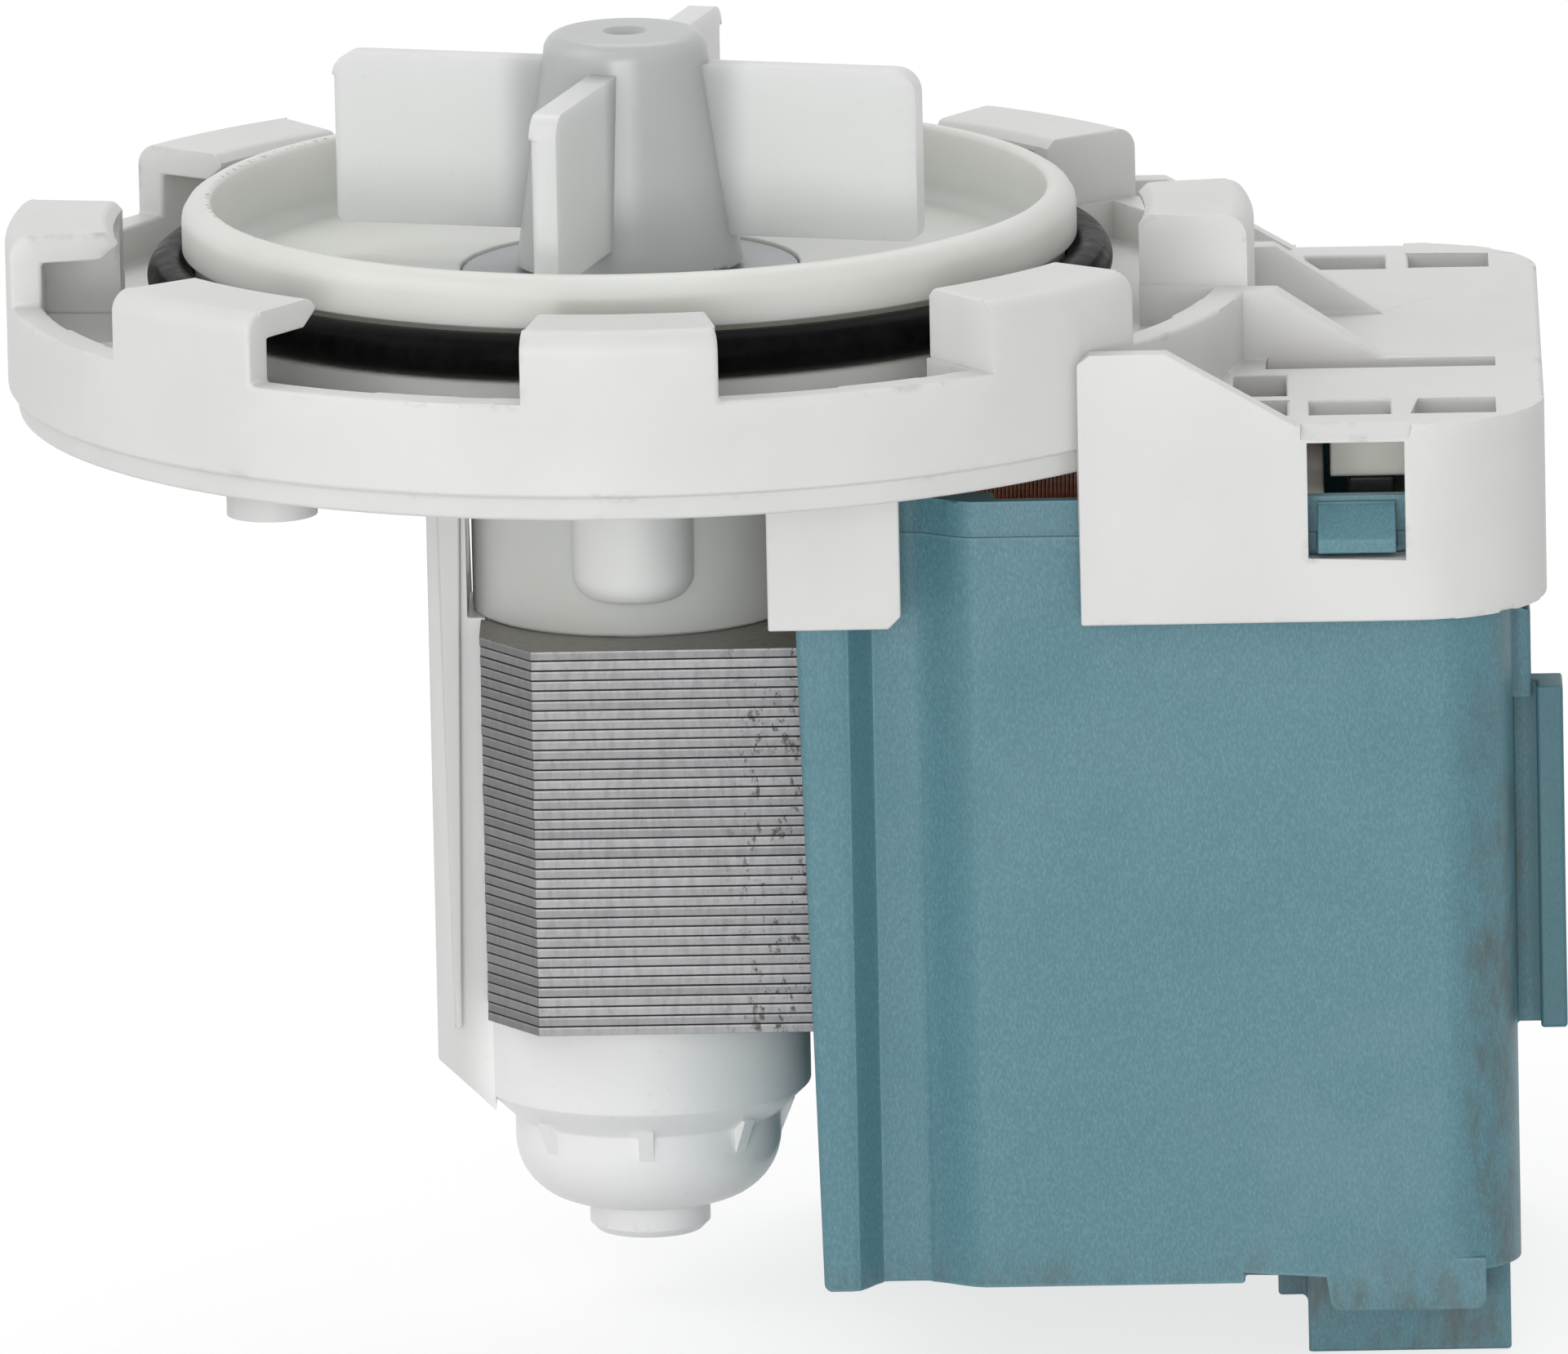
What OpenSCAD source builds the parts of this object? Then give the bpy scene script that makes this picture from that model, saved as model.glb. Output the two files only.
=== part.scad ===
// Washer drain pump: a synchronous motor with a bayonet ring, an open impeller and a coil housing.
// Units are millimetres. The origin is on the rotor axis, half way up the plain land of the sealing spigot.
// +Z runs along the axis towards the impeller, +X towards the coil housing, and -Y is the front.

/* [Sealing spigot] */
// Radius of the plain land that enters the sump
land_r = 28.8; // [28:0.1:29.2]
// Length of the plain land
land_len = 2.7; // [2:0.1:3.5]
// Wall of the spigot at the land
rim_wall = 1.9; // [1.4:0.1:2.4]
// Radius on both top edges of the spigot
rim_round = 0.6; // [0.2:0.1:0.7]
// Height of the spigot's top above the foot of the bayonet ring
spigot_h = 13.4; // [12.5:0.1:15]
// Depth of the chamber from the spigot's top to its floor
dish_depth = 4.9; // [4.5:0.1:6.5]
// Thickness of the chamber floor
dish_floor_t = 1.8; // [1.2:0.1:2.2]
// Cord thickness of the O-ring
oring_cord = 3; // [2.4:0.1:3.2]
// Depth of the O-ring groove below the land
groove_depth = 0.8; // [0.4:0.1:1]
// How far the shoulder under the O-ring stands out past the land
shoulder_out = 1.2; // [0.6:0.1:1.6]

/* [Bayonet ring] */
// Gap between the O-ring and the lips of the hooks
lip_gap = 2.1; // [1.6:0.1:3]
// Thickness of the ring wall
ring_wall = 2.1; // [1.6:0.1:2.4]
// Height of the ring wall between the hooks
ring_h = 7.6; // [6.5:0.1:8.5]
// Height of the drawn-in foot band
foot_h = 1.5; // [0.8:0.1:2.2]
// How far the foot band is drawn in
foot_in = 0.5; // [0.1:0.1:0.9]
// Height of the channel floor above the foot
channel_h = 5; // [4.6:0.1:5.4]
// Thickness of the channel floor
channel_t = 2; // [1.4:0.1:2.2]
// Number of bayonet hooks
hook_count = 8; // [4:1:9]
// Angle that one hook covers
hook_deg = 18; // [14:1:22]
// Height of a hook's top above the foot
hook_h = 12.2; // [11.8:0.1:13]
// Reach of the lip inwards from the outside of the ring
lip_reach = 7; // [6:0.1:7.4]
// Thickness of the lip
lip_t = 1.8; // [1.4:0.1:2.2]
// Radius on the outer top edge of a hook
hook_round = 1.4; // [0.6:0.1:1.5]
// Angle that the end stop of a hook covers
stop_deg = 2.4; // [1.6:0.1:3.6]
// Angle of the low ledge in front of the end stop
stop_ledge = 0.5; // [0.2:0.1:1]
// Radius of the locating pegs under the ring
peg_r = 2.9; // [2:0.1:3.4]
// How far the pegs reach below the foot
peg_drop = 2.3; // [1:0.1:4]
// Distance of the pegs from the axis, away from the coils
peg_x = 22.6; // [20:0.1:24.5]
// Distance of the pegs from the middle plane
peg_y = 24.5; // [22:0.1:25]

/* [Coil cover] */
// Distance from the axis to the cover's near end
cover_x0 = 28.8; // [28:0.1:30]
// Gap between the cover's far wall and the housing
cover_far_gap = 0.7; // [0.4:0.1:1.2]
// Gap between the cover's walls and the housing
cover_gap = 0.75; // [0.5:0.05:1.2]
// Wall of the cover
cover_wall = 1.6; // [1.2:0.1:1.8]
// Corner radius at the cover's far end
cover_corner = 8.7; // [7:0.1:10]
// Height of the cover's top above the ring foot
cover_top_h = 3.1; // [2.4:0.1:3.4]
// How far the cover's skirt reaches below the ring foot
cover_drop = 9.65; // [8.8:0.1:11]
// Height of the two wing walls beside the ring, above the foot
wing_h = 7.9; // [6.5:0.1:8.5]
// Length of the level top of a wing wall
wing_len = 5.7; // [3:0.1:7]
// Length of the slope from a wing wall down to the cover's top
wing_slope = 8.2; // [5:0.1:9]
// Distance of the two gussets from the middle plane
gusset_y = 8; // [6:0.1:9]
// Thickness of the gussets
gusset_t = 1.8; // [1.2:0.1:2.4]
// Length of a gusset from the ring wall
gusset_len = 8.2; // [5:0.1:10]
// Width of the latch windows
window_w = 6.2; // [5.5:0.1:7]
// Height of the latch windows
window_h = 7.6; // [7:0.1:8.2]
// Distance from the axis to the middle of the latch windows
window_x = 46.4; // [45.5:0.1:47.5]
// Width of the clip tongues under the ring
clip_w = 8.45; // [6:0.05:9.5]
// Distance from the axis to the middle of the clip tongues
clip_x = 13.1; // [12:0.1:15]

/* [Stator core] */
// Number of sheets in the core
sheet_count = 39; // [38:1:40]
// Thickness of one sheet
sheet_t = 0.65; // [0.63:0.01:0.67]
// Width of the lacquer line between two sheets
lacquer_w = 0.12; // [0.06:0.01:0.2]
// Depth of the lacquer line at the edge of the sheets
lacquer_d = 0.16; // [0.08:0.01:0.3]
// Drop from the ring foot to the top of the core
core_drop = 13.8; // [13.2:0.1:14.4]
// Width of the core across the poles
pole_w = 29; // [28.4:0.1:29.6]
// Radius of the rotor bore between the poles
bore_r = 10.3; // [10.25:0.05:10.8]
// Gap between the pole tips
pole_gap = 8.8; // [8.6:0.1:9.4]
// Distance from the axis to the pole tips
pole_end = 10; // [9.6:0.1:10.2]
// Length of the corner cut on a pole, along the arm
cut_x = 3.4; // [2:0.1:4]
// Depth of the corner cut on a pole, across the arm
cut_y = 4.9; // [3:0.1:5]
// Width of an arm inside its coil
arm_w = 8.5; // [8:0.1:9]
// Distance from the middle plane to the middle of an arm
arm_y = 11.25; // [11.1:0.05:11.4]
// Distance from the axis to the near face of the yoke
yoke_x = 46; // [45.6:0.1:46.4]
// Thickness of the yoke
yoke_t = 8; // [6.5:0.1:8.3]

/* [Rotor can] */
// Outer radius of the can
can_r = 10.2; // [9.9:0.05:10.24]
// Wall of the can
can_wall = 0.9; // [0.6:0.05:1]
// Radius of the can's collar under the core
collar_r = 10.6; // [10.4:0.1:11]
// Length of the collar below the core
can_below = 6.25; // [5:0.05:7]
// Radius of the domed end
dome_r = 8.6; // [8.2:0.1:9]
// Length of the domed end below the chamfer
dome_len = 5.7; // [5.2:0.1:6.5]
// Height of the chamfer between the can and its domed end
can_chamfer = 1.9; // [1.2:0.1:2.4]
// Radius on the edge of the domed end
dome_round = 4.2; // [1.5:0.1:4.3]
// Radius of the nub under the dome
nub_r = 4.1; // [3:0.1:4.6]
// Length of the nub
nub_len = 2.15; // [1:0.05:2.5]
// Thickness of the post beside the core
post_t = 3; // [2.4:0.1:3.4]
// Width of the post
post_w = 8; // [6:0.1:8.2]
// Outer radius of the cup between the chamber and the core
cup_r = 10.6; // [10.5:0.1:11]
// Radius of the half-round boss on the cup
boss_r = 3.95; // [3:0.05:4.5]

/* [Coils] */
// Side wall of a bobbin
bobbin_wall = 1; // [0.7:0.05:1.05]
// Top and bottom wall of a bobbin
bobbin_deck = 5; // [4:0.1:5.4]
// Thickness of a bobbin's end flange
flange_t = 1.2; // [0.8:0.1:1.5]
// Distance from the axis to the near flange of the bobbins
bobbin_x = 13; // [12.9:0.1:13.5]
// Distance from the axis to the far face of the bobbins
bobbin_end = 44.4; // [43.8:0.1:45]
// Thickness of a winding
winding_t = 5.4; // [5:0.1:5.5]
// Thickness of the outer layer's wire
wire_d = 1.3; // [1:0.05:1.35]
// Turns in the outer layer
turns = 12; // [8:1:12]

/* [Coil housing] */
// Distance from the axis to the near end of the housing
house_x0 = 10.4; // [10.3:0.1:10.6]
// Gap between the yoke and the housing's far wall
yoke_gap = 0.8; // [0.5:0.1:1.4]
// Gap between the bobbin flanges and the housing's inside
coil_gap = 0.95; // [0.6:0.05:1.4]
// Wall of the housing
house_wall = 1.4; // [1.1:0.1:1.5]
// Corner radius at the housing's far end
house_corner = 5; // [3.5:0.1:6.5]
// Drop from the ring foot to the top edge of the housing
house_top_drop = 2; // [1.6:0.1:2.6]
// Gap between the bobbin flanges and the housing's floor
coil_floor_gap = 1.95; // [1:0.05:3]
// Height of the drawn-in band at the top of the housing
band_h = 2.3; // [1:0.1:3]
// How far the top band is drawn in
band_in = 0.25; // [0.1:0.05:0.35]
// How far the near end leans in from the top to the floor
near_slope = 1.2; // [0.2:0.1:1.3]
// Height of the step in the floor
floor_step = 0.5; // [0.1:0.1:0.7]
// Distance from the axis to the step in the floor
floor_step_x = 38.5; // [30:0.5:41]
// Depth of the valley beside the front lobe
valley_d = 2; // [1:0.1:2.1]
// Width of the connector shroud
shroud_w = 13; // [12.4:0.1:13.2]
// Distance from the housing's far end back to the near face of the connector shroud
shroud_back = 13.7; // [13.3:0.1:14.2]
// Depth of the connector shroud, front to back
shroud_d = 14; // [12:0.1:16]
// How far the connector shroud reaches below the housing
shroud_drop = 6.2; // [5.5:0.1:7]
// Wall of the connector shroud
shroud_wall = 1.2; // [0.9:0.1:1.4]
// Thickness of a terminal tab
tab_t = 0.8; // [0.5:0.1:1]
// Width of a terminal tab
tab_w = 6.3; // [4.8:0.1:6.6]
// Spacing of the two terminal tabs
tab_pitch = 6; // [5.5:0.1:6.5]
// Length of the side rail
rail_len = 22.4; // [18:0.1:26]
// How far the rail stands out from the housing
rail_out = 3.2; // [2.5:0.1:3.6]
// Drop from the ring foot to the top of the rail
rail_drop = 15.65; // [14:0.05:18]
// Length of the rib above the rail
rail_rib = 4.9; // [2:0.1:6]

/* [Rotor] */
// Radius of the shaft
shaft_r = 2; // [1.6:0.05:2.3]
// Radial running clearance of the shaft in its bushes and in the impeller
run_gap = 0.04; // [0.02:0.01:0.08]
// Radius of the magnet
magnet_r = 8.6; // [8:0.1:8.7]
// Length of the magnet
magnet_len = 24; // [20:0.5:25]
// Radius of the plastic core inside the magnet
magnet_hub_r = 4.6; // [3.6:0.1:5.4]
// Length of the front bush
front_bush_len = 7; // [5:0.1:7.5]
// Length of the rear bush
rear_bush_len = 4.6; // [3.5:0.1:4.8]
// Wall of the bushes
bush_wall = 2.4; // [1.8:0.1:2.6]
// Radius of the seal carrier's flange
carrier_r = 10.9; // [10.2:0.1:11.4]

/* [Impeller] */
// Tip radius of the blades
blade_r = 19.5; // [18:0.1:22]
// Number of blades
blade_count = 4; // [3:1:6]
// Thickness of a blade
blade_t = 1.8; // [1.4:0.1:2.2]
// Height of the blades
blade_h = 11.1; // [9:0.1:12]
// Clearance of the blades above the chamber floor
blade_lift = 2.3; // [2:0.1:3.6]
// Turn of the first blade from +X
blade_turn = -15; // [-45:1:45]
// Height of the hub's top above the blades
hub_over = 1.9; // [0.6:0.1:2]
// Hub radius at the top
hub_top_r = 5.3; // [5.2:0.1:6]
// Hub radius at the base
hub_base_r = 7.3; // [7.1:0.1:8]
// Angle that each coupling dog covers
dog_deg = 50; // [40:1:56]

/* [Hidden] */
$fn = 64;
eps = 0.01;
// Static clearance between pieces that fit together, and the air gap that loose neighbours keep
fit = 0.05;
air = 0.3;
deep = 200;

// Heights, all measured from the middle of the land
ring_z = -(spigot_h - rim_round - land_len / 2);
rim_top = ring_z + spigot_h;
dish_z = rim_top - dish_depth;
groove_top = -land_len / 2;
groove_bot = groove_top - oring_cord - 4 * fit;
groove_r = land_r - groove_depth;
shoulder_r = land_r + shoulder_out;
channel_z = ring_z + channel_h;
channel_under = channel_z - channel_t;
oring_in_r = groove_r + 2 * fit;
oring_out_r = oring_in_r + oring_cord;
lip_r = oring_out_r + lip_gap;
ring_r = lip_r + lip_reach;
ring_in = ring_r - ring_wall;
hook_top = ring_z + hook_h;
lip_under = hook_top - lip_t;
window_edge = 0.2;
cover_top = ring_z + cover_top_h;
cover_bot = ring_z - cover_drop;
core_top = ring_z - core_drop;
core_h = sheet_count * sheet_t;
core_bot = core_top - core_h;
core_mid = core_top - core_h / 2;
house_top = ring_z - house_top_drop;
can_low = core_bot - can_below;
dome_top = can_low - can_chamfer;
dome_bot = dome_top - dome_len;

// Neck under the chamber, and the hole in the channel floor that it drops into
neck_r = land_r - 2.9;
neck_wall = 1.5;
neck_hole_r = neck_r + fit;

// Seal carrier, bushes and the cup that holds them
carrier_t = 1.4;
carrier_body_r = 8.6;
carrier_len = front_bush_len + 4.5;
cup_in_r = carrier_body_r + fit;
seat_boss_r = carrier_r + 1.6;
bush_r = shaft_r + run_gap;
bush_out_r = bush_r + bush_wall;
carrier_z = dish_z - 0.2;
front_bush_z = carrier_z - carrier_len;
lip_seal_z = front_bush_z + front_bush_len;
spout_r = cup_in_r - fit;
spout_len = 4;
lip_seal_h = carrier_t * 2;
lip_mid = lip_seal_h * 0.65;
lip_edge = lip_seal_h * 0.15;

// Rotor
magnet_top = core_mid + magnet_len / 2;
magnet_bot = core_mid - magnet_len / 2;
end_disc_t = 1.2;
end_disc_r = magnet_r - 1.2;
washer_t = 0.6;
hub_disc_top = magnet_top + end_disc_t;
hub_disc_bot = magnet_bot - end_disc_t;
nose_top = front_bush_z - air - washer_t;
rear_bush_top = hub_disc_bot - washer_t - air;
rear_bush_bot = rear_bush_top - rear_bush_len;
cushion_wall = 1.6;
cushion_r = bush_out_r + fit + cushion_wall;
cushion_base = 1;
pocket_bot = rear_bush_bot - cushion_base;
can_floor = rear_bush_top;

// Impeller and its lost-motion coupling
blade_z = dish_z + blade_lift;
blade_top = blade_z + blade_h;
hub_top = blade_top + hub_over;
hub_z = dish_z + air;
base_ring_t = 1.4;
base_ring_r = hub_base_r - 0.9;
cavity_r = hub_top_r - 0.7;
cavity_z0 = hub_z + base_ring_t;
dog_h = 5;
cavity_top = cavity_z0 + dog_h + 2 * air;
sleeve_r = shaft_r + 0.8;
dog_r = cavity_r - air;
tooth_in_r = sleeve_r + air;
buffer_t = 0.5;
shaft_top = hub_top - 3;
shaft_bot = rear_bush_bot + air;

// Coils
coil_hy = arm_w / 2 + fit + bobbin_wall;
coil_hz = core_h / 2 + fit + bobbin_deck;
wind_hy = coil_hy + fit + winding_t;
wind_hz = coil_hz + fit + winding_t;
wind_round = 4.5;
layer_gap = air;
core_winding_t = winding_t - wire_d - layer_gap;
wire_hy = wind_hy - wire_d / 2;
wire_hz = wind_hz - wire_d / 2;
flange_hy = wind_hy + air / 2;
flange_hz = wind_hz + air;
wind_x0 = bobbin_x + flange_t + fit;
wind_x1 = bobbin_end - flange_t - fit;
lead_bend = wire_d;
layer_x0 = wind_x0 + air + wire_d + lead_bend;
layer_x1 = wind_x1 - air - wire_d - lead_bend;
wire_pitch = (layer_x1 - layer_x0) / turns;
ring_steps = 24;
wire_sides = 6;

// Housing, drawn around the coils, and the cover's width around the housing
house_w = 2 * (arm_y + flange_hy + coil_gap + valley_d + house_wall);
house_x1 = yoke_x + yoke_t + yoke_gap + house_wall;
house_bot = core_mid - flange_hz - coil_floor_gap - house_wall;
house_h = house_top - house_bot;
cover_w = house_w + 2 * (cover_gap + cover_wall);
cover_x1 = house_x1 + cover_far_gap + cover_wall;
shroud_x = house_x1 - shroud_back;
slot_w = pole_w + 4 * air;
latch_w = window_w - 4 * air;
latch_out = cover_w / 2 - house_w / 2 - air;
window_z1 = ring_z + 2;
window_z0 = window_z1 - window_h;
latch_top = house_top - 0.3;
latch_h = latch_top - window_z0 - air;
shroud_y = -house_w / 2 + 6.5;
shroud_z = house_bot - shroud_drop;
tab_mid_x = shroud_x + shroud_w / 2;
tab_mid_y = shroud_y + shroud_d / 2;
tab_bot = shroud_z + 0.7;
tab_top = house_bot + house_wall + 5;
tongue_x = shroud_x + 1;
tongue_w = 10.4;
tongue_drop = 2;
tongue_lean = 0.5;
tongue_cut = 0.5;
key_w = 1.9;
key_drop = 4.1;
rail_top = ring_z - rail_drop;
rail_z = rail_top - rail_len;
rail_rib_out = 1.2;
carrier_plate_t = 1.6;
carrier_plate_x0 = bobbin_end + 0.4;
carrier_plate_x1 = house_x1 - house_wall - 0.4;
carrier_plate_w = 40;
carrier_plate_z = ring_z - 2.1;
carrier_leg_t = 1.5;
carrier_leg_y = arm_y + arm_w / 2 - 4;
protector_y0 = -carrier_plate_w / 2 + 0.2;
protector_y1 = -carrier_leg_y - carrier_leg_t - air;
protector_w = 3;
protector_h = 3.4;
lead_r = 0.8;
lead_y = -(arm_y + arm_w / 2) - 3 * lead_r;

white = [0.90, 0.90, 0.885];
ivory = [0.89, 0.895, 0.86];
milky = [0.87, 0.88, 0.87];
teal = [0.38, 0.54, 0.57];
steel = [0.68, 0.69, 0.70];
sheet_grey = [0.55, 0.55, 0.56];
bronze = [0.62, 0.48, 0.30];
copper = [0.50, 0.20, 0.13];
black = [0.07, 0.07, 0.075];
ferrite = [0.16, 0.16, 0.17];
seal_grey = [0.62, 0.65, 0.67];
brass = [0.80, 0.66, 0.36];

// Tube between two radii, standing on z0
module tube(r_in, r_out, z0, h) {
  rotate_extrude()
    translate([r_in, z0])
      square([r_out - r_in, h]);
}

// Part of a tube between two angles
module sector(r_in, r_out, a0, a1, z0, h) {
  rotate([0, 0, a0])
    rotate_extrude(angle = a1 - a0)
      translate([r_in, z0])
        square([r_out - r_in, h]);
}

// Block between two corners
module block(low, high) {
  translate(low)
    cube(high - low);
}

// Plate drawn in X and Z and given its thickness from y0 to y1
module side_plate(points, y0, y1) {
  translate([0, y1, 0])
    rotate([90, 0, 0])
      linear_extrude(y1 - y0)
        polygon(points);
}

// Rectangle with round corners about the origin, by its half sizes
module round_rect(hx, hy, r) {
  square([2 * (hx - r), 2 * hy], center = true);
  square([2 * hx, 2 * (hy - r)], center = true);
  for (sx = [-1, 1])
    for (sy = [-1, 1])
      translate([sx * (hx - r), sy * (hy - r)])
        circle(r = r);
}

// Plan that is square at x0 and round at the far corners, drawn in by an inset
module far_round_plan(x0, x1, w, corner, inset) {
  half = w / 2 - inset;
  far = x1 - corner;
  translate([x0, -half])
    square([far - x0, 2 * half]);
  translate([far - eps, -(w / 2 - corner)])
    square([corner - inset + eps, w - 2 * corner]);
  for (side = [-1, 1])
    translate([far, side * (w / 2 - corner)])
      circle(r = corner - inset);
}

// Copies the children to the front and, mirrored, to the back
module both_sides() {
  children();
  mirror([0, 1, 0])
    children();
}

// Outline of the bayonet ring in radius and height, with its drawn-in foot and the full height of a hook
module ring_outline() {
  polygon([
    [neck_hole_r, channel_under], [ring_in, channel_under], [ring_in, ring_z],
    [ring_r - foot_in - 0.2, ring_z], [ring_r - foot_in, ring_z + foot_h],
    [ring_r, ring_z + foot_h + 0.2], [ring_r, hook_top - hook_round],
    [ring_r - hook_round, hook_top - hook_round], [ring_r - hook_round, hook_top],
    [lip_r + 0.6, hook_top], [lip_r, hook_top - 0.6], [lip_r, channel_z], [neck_hole_r, channel_z]
  ]);
  translate([ring_r - hook_round, hook_top - hook_round])
    circle(r = hook_round);
}

// Gap between two hooks, from the ring's plain height upwards
module hook_gap(angle) {
  sector(
    lip_r - 1, ring_r + 1, angle + hook_deg / 2, angle + 360 / hook_count - hook_deg / 2,
    ring_z + ring_h, hook_h
  );
}

// Channel under a lip, from the hook's stop to the next hook
module hook_pocket(angle) {
  rotate([0, 0, angle - hook_deg / 2 + stop_deg])
    rotate_extrude(angle = 360 / hook_count - stop_deg - stop_ledge)
      polygon([
        [lip_r - 1.2, channel_z], [ring_in, channel_z], [ring_in, lip_under],
        [lip_r + 1.2, lip_under], [lip_r - 1.2, lip_under + 1.8]
      ]);
}

// Opening in the channel floor under a hook's lip
module hook_window(angle) {
  sector(
    lip_r + window_edge, ring_in - window_edge, angle - hook_deg / 2 + stop_deg + window_edge,
    angle + hook_deg / 2 - window_edge, channel_under - 1, channel_t + 2
  );
}

// Plate and skirt of the coil cover, with the wing walls and the two gussets
module cover_body() {
  wing_end = cover_x0 + wing_len + wing_slope;
  gusset_x = ring_r - 1;
  wing = [
    [cover_x0, cover_bot], [cover_x0, ring_z + wing_h - 0.6], [cover_x0 + 0.8, ring_z + wing_h],
    [cover_x0 + wing_len, ring_z + wing_h], [wing_end, cover_top], [wing_end, cover_bot]
  ];
  gusset = [
    [gusset_x, cover_top - eps], [gusset_x, ring_z + ring_h], [ring_r + 1.4, ring_z + ring_h],
    [ring_r + gusset_len, cover_top - eps]
  ];
  difference() {
    union() {
      difference() {
        translate([0, 0, cover_bot])
          linear_extrude(cover_top - cover_bot)
            far_round_plan(cover_x0, cover_x1, cover_w, cover_corner, 0);
        translate([0, 0, cover_bot - 1])
          linear_extrude(cover_top - cover_wall - cover_bot + 1)
            far_round_plan(cover_x0 - 1, cover_x1, cover_w, cover_corner, cover_wall);
      }
      both_sides() {
        side_plate(wing, -cover_w / 2, -cover_w / 2 + cover_wall);
        side_plate(gusset, -gusset_y, -gusset_y + gusset_t);
      }
    }
    translate([0, 0, cover_bot - 1])
      cylinder(r = ring_r - ring_wall / 2, h = deep);
  }
}

// Openings in the cover's top
module cover_slots() {
  slot_l = 5.2;
  slot_d = 4.6;
  rows = cover_w / 2 - 8.2;
  columns = [cover_x1 - 15, cover_x1 - 8.3];
  z0 = cover_top - cover_wall - 1;
  z1 = cover_top + 1;
  for (x = columns)
    both_sides()
      block([x, -rows - slot_d, z0], [x + slot_l, -rows, z1]);
  both_sides()
    block([columns[0] - 5.4, -rows - slot_d, z0], [columns[0] - 1.4, -rows, z1]);
  both_sides()
    block([columns[0] - 4.8, -rows + 1.4, z0], [columns[0] - 1.4, -gusset_y - 4.4, z1]);
  block([ring_r + 0.6, -gusset_y - 2.8, z0], [cover_x1 - 3, -gusset_y, z1]);
}

// Latch window through a skirt wall, with the sloped lintel above it
module latch_window() {
  half = window_w / 2;
  block(
    [window_x - half, -cover_w / 2 - 1, window_z0],
    [window_x + half, -cover_w / 2 + cover_wall + 1, window_z1]
  );
  translate([window_x, -cover_w / 2, cover_top])
    rotate([45, 0, 0])
      cube([window_w + 0.8, 1.3, 1.3], center = true);
}

// White moulding: bayonet ring with its hooks, coil cover, clip tongues and locating pegs
module mounting_bracket() {
  clip_top = channel_z - channel_t / 2;
  color(white)
    difference() {
      union() {
        difference() {
          rotate_extrude()
            ring_outline();
          for (i = [0 : hook_count - 1]) {
            hook_gap(i * 360 / hook_count);
            hook_pocket(i * 360 / hook_count);
            hook_window(i * 360 / hook_count);
          }
        }
        cover_body();
        both_sides() {
          side_plate(
            [
              [clip_x - clip_w / 2, clip_top], [clip_x - clip_w / 2, cover_bot],
              [clip_x + clip_w / 2 - 0.8, cover_bot], [clip_x + clip_w / 2, cover_bot + 0.8],
              [clip_x + clip_w / 2, clip_top]
            ],
            -cover_w / 2, -cover_w / 2 + cover_wall
          );
          translate([-peg_x, -peg_y, ring_z - peg_drop])
            cylinder(r = peg_r, h = clip_top - ring_z + peg_drop);
        }
      }
      cover_slots();
      both_sides()
        latch_window();
    }
}

// Outline of the chamber in radius and height
module chamber_outline() {
  wall_in = land_r - rim_wall;
  under = dish_z - dish_floor_t;
  seat = carrier_z - carrier_t;
  // Spigot wall with round top edges
  translate([wall_in, groove_top])
    square([rim_wall, rim_top - rim_round - groove_top]);
  translate([wall_in + rim_round, groove_top])
    square([rim_wall - 2 * rim_round, rim_top - groove_top]);
  for (r = [wall_in + rim_round, land_r - rim_round])
    translate([r, rim_top - rim_round])
      circle(r = rim_round);
  // Groove wall, shoulder and floor
  translate([wall_in, under])
    square([groove_r - wall_in, groove_top - under + eps]);
  translate([neck_r - neck_wall, channel_z])
    square([shoulder_r - neck_r + neck_wall, groove_bot - channel_z]);
  translate([carrier_r + fit, under])
    square([wall_in - carrier_r - fit + eps, dish_floor_t]);
  translate([neck_r - neck_wall, channel_under - 0.4])
    square([neck_wall, under - channel_under + 0.4 + eps]);
  // Seat for the seal carrier, and the cup below it
  translate([carrier_r + fit, seat - 1.6])
    square([seat_boss_r - carrier_r - fit, under - seat + 1.6 + eps]);
  translate([cup_in_r, seat - 1.6])
    square([carrier_r + fit - cup_in_r + eps, 1.6]);
  translate([cup_in_r, core_top])
    square([cup_r - cup_in_r, seat - 1.6 - core_top + eps]);
}

// Pump chamber: spigot with its O-ring groove, floor and the cup that stands on the core
module chamber_cover() {
  boss_y = -(cup_r - 1.4);
  boss_low = core_top + 2.3;
  boss_round = 1.8;
  color(ivory) {
    rotate_extrude()
      chamber_outline();
    difference() {
      translate([0, boss_y, 0])
        rotate_extrude() {
          translate([0, boss_low + boss_round])
            square([boss_r, carrier_z - carrier_t - 1 - boss_low - boss_round]);
          translate([0, boss_low])
            square([boss_r - boss_round, boss_round + eps]);
          translate([boss_r - boss_round, boss_low + boss_round])
            intersection() {
              circle(r = boss_round);
              translate([0, -boss_round])
                square([boss_round, boss_round + eps]);
            }
        }
      translate([0, 0, core_top])
        cylinder(r = cup_in_r + (cup_r - cup_in_r) / 2, h = deep);
    }
  }
}

// Sealing ring in the groove of the spigot
module o_ring() {
  color(black)
    rotate_extrude()
      translate([oring_in_r + oring_cord / 2, (groove_top + groove_bot) / 2])
        circle(r = oring_cord / 2);
}

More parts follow.
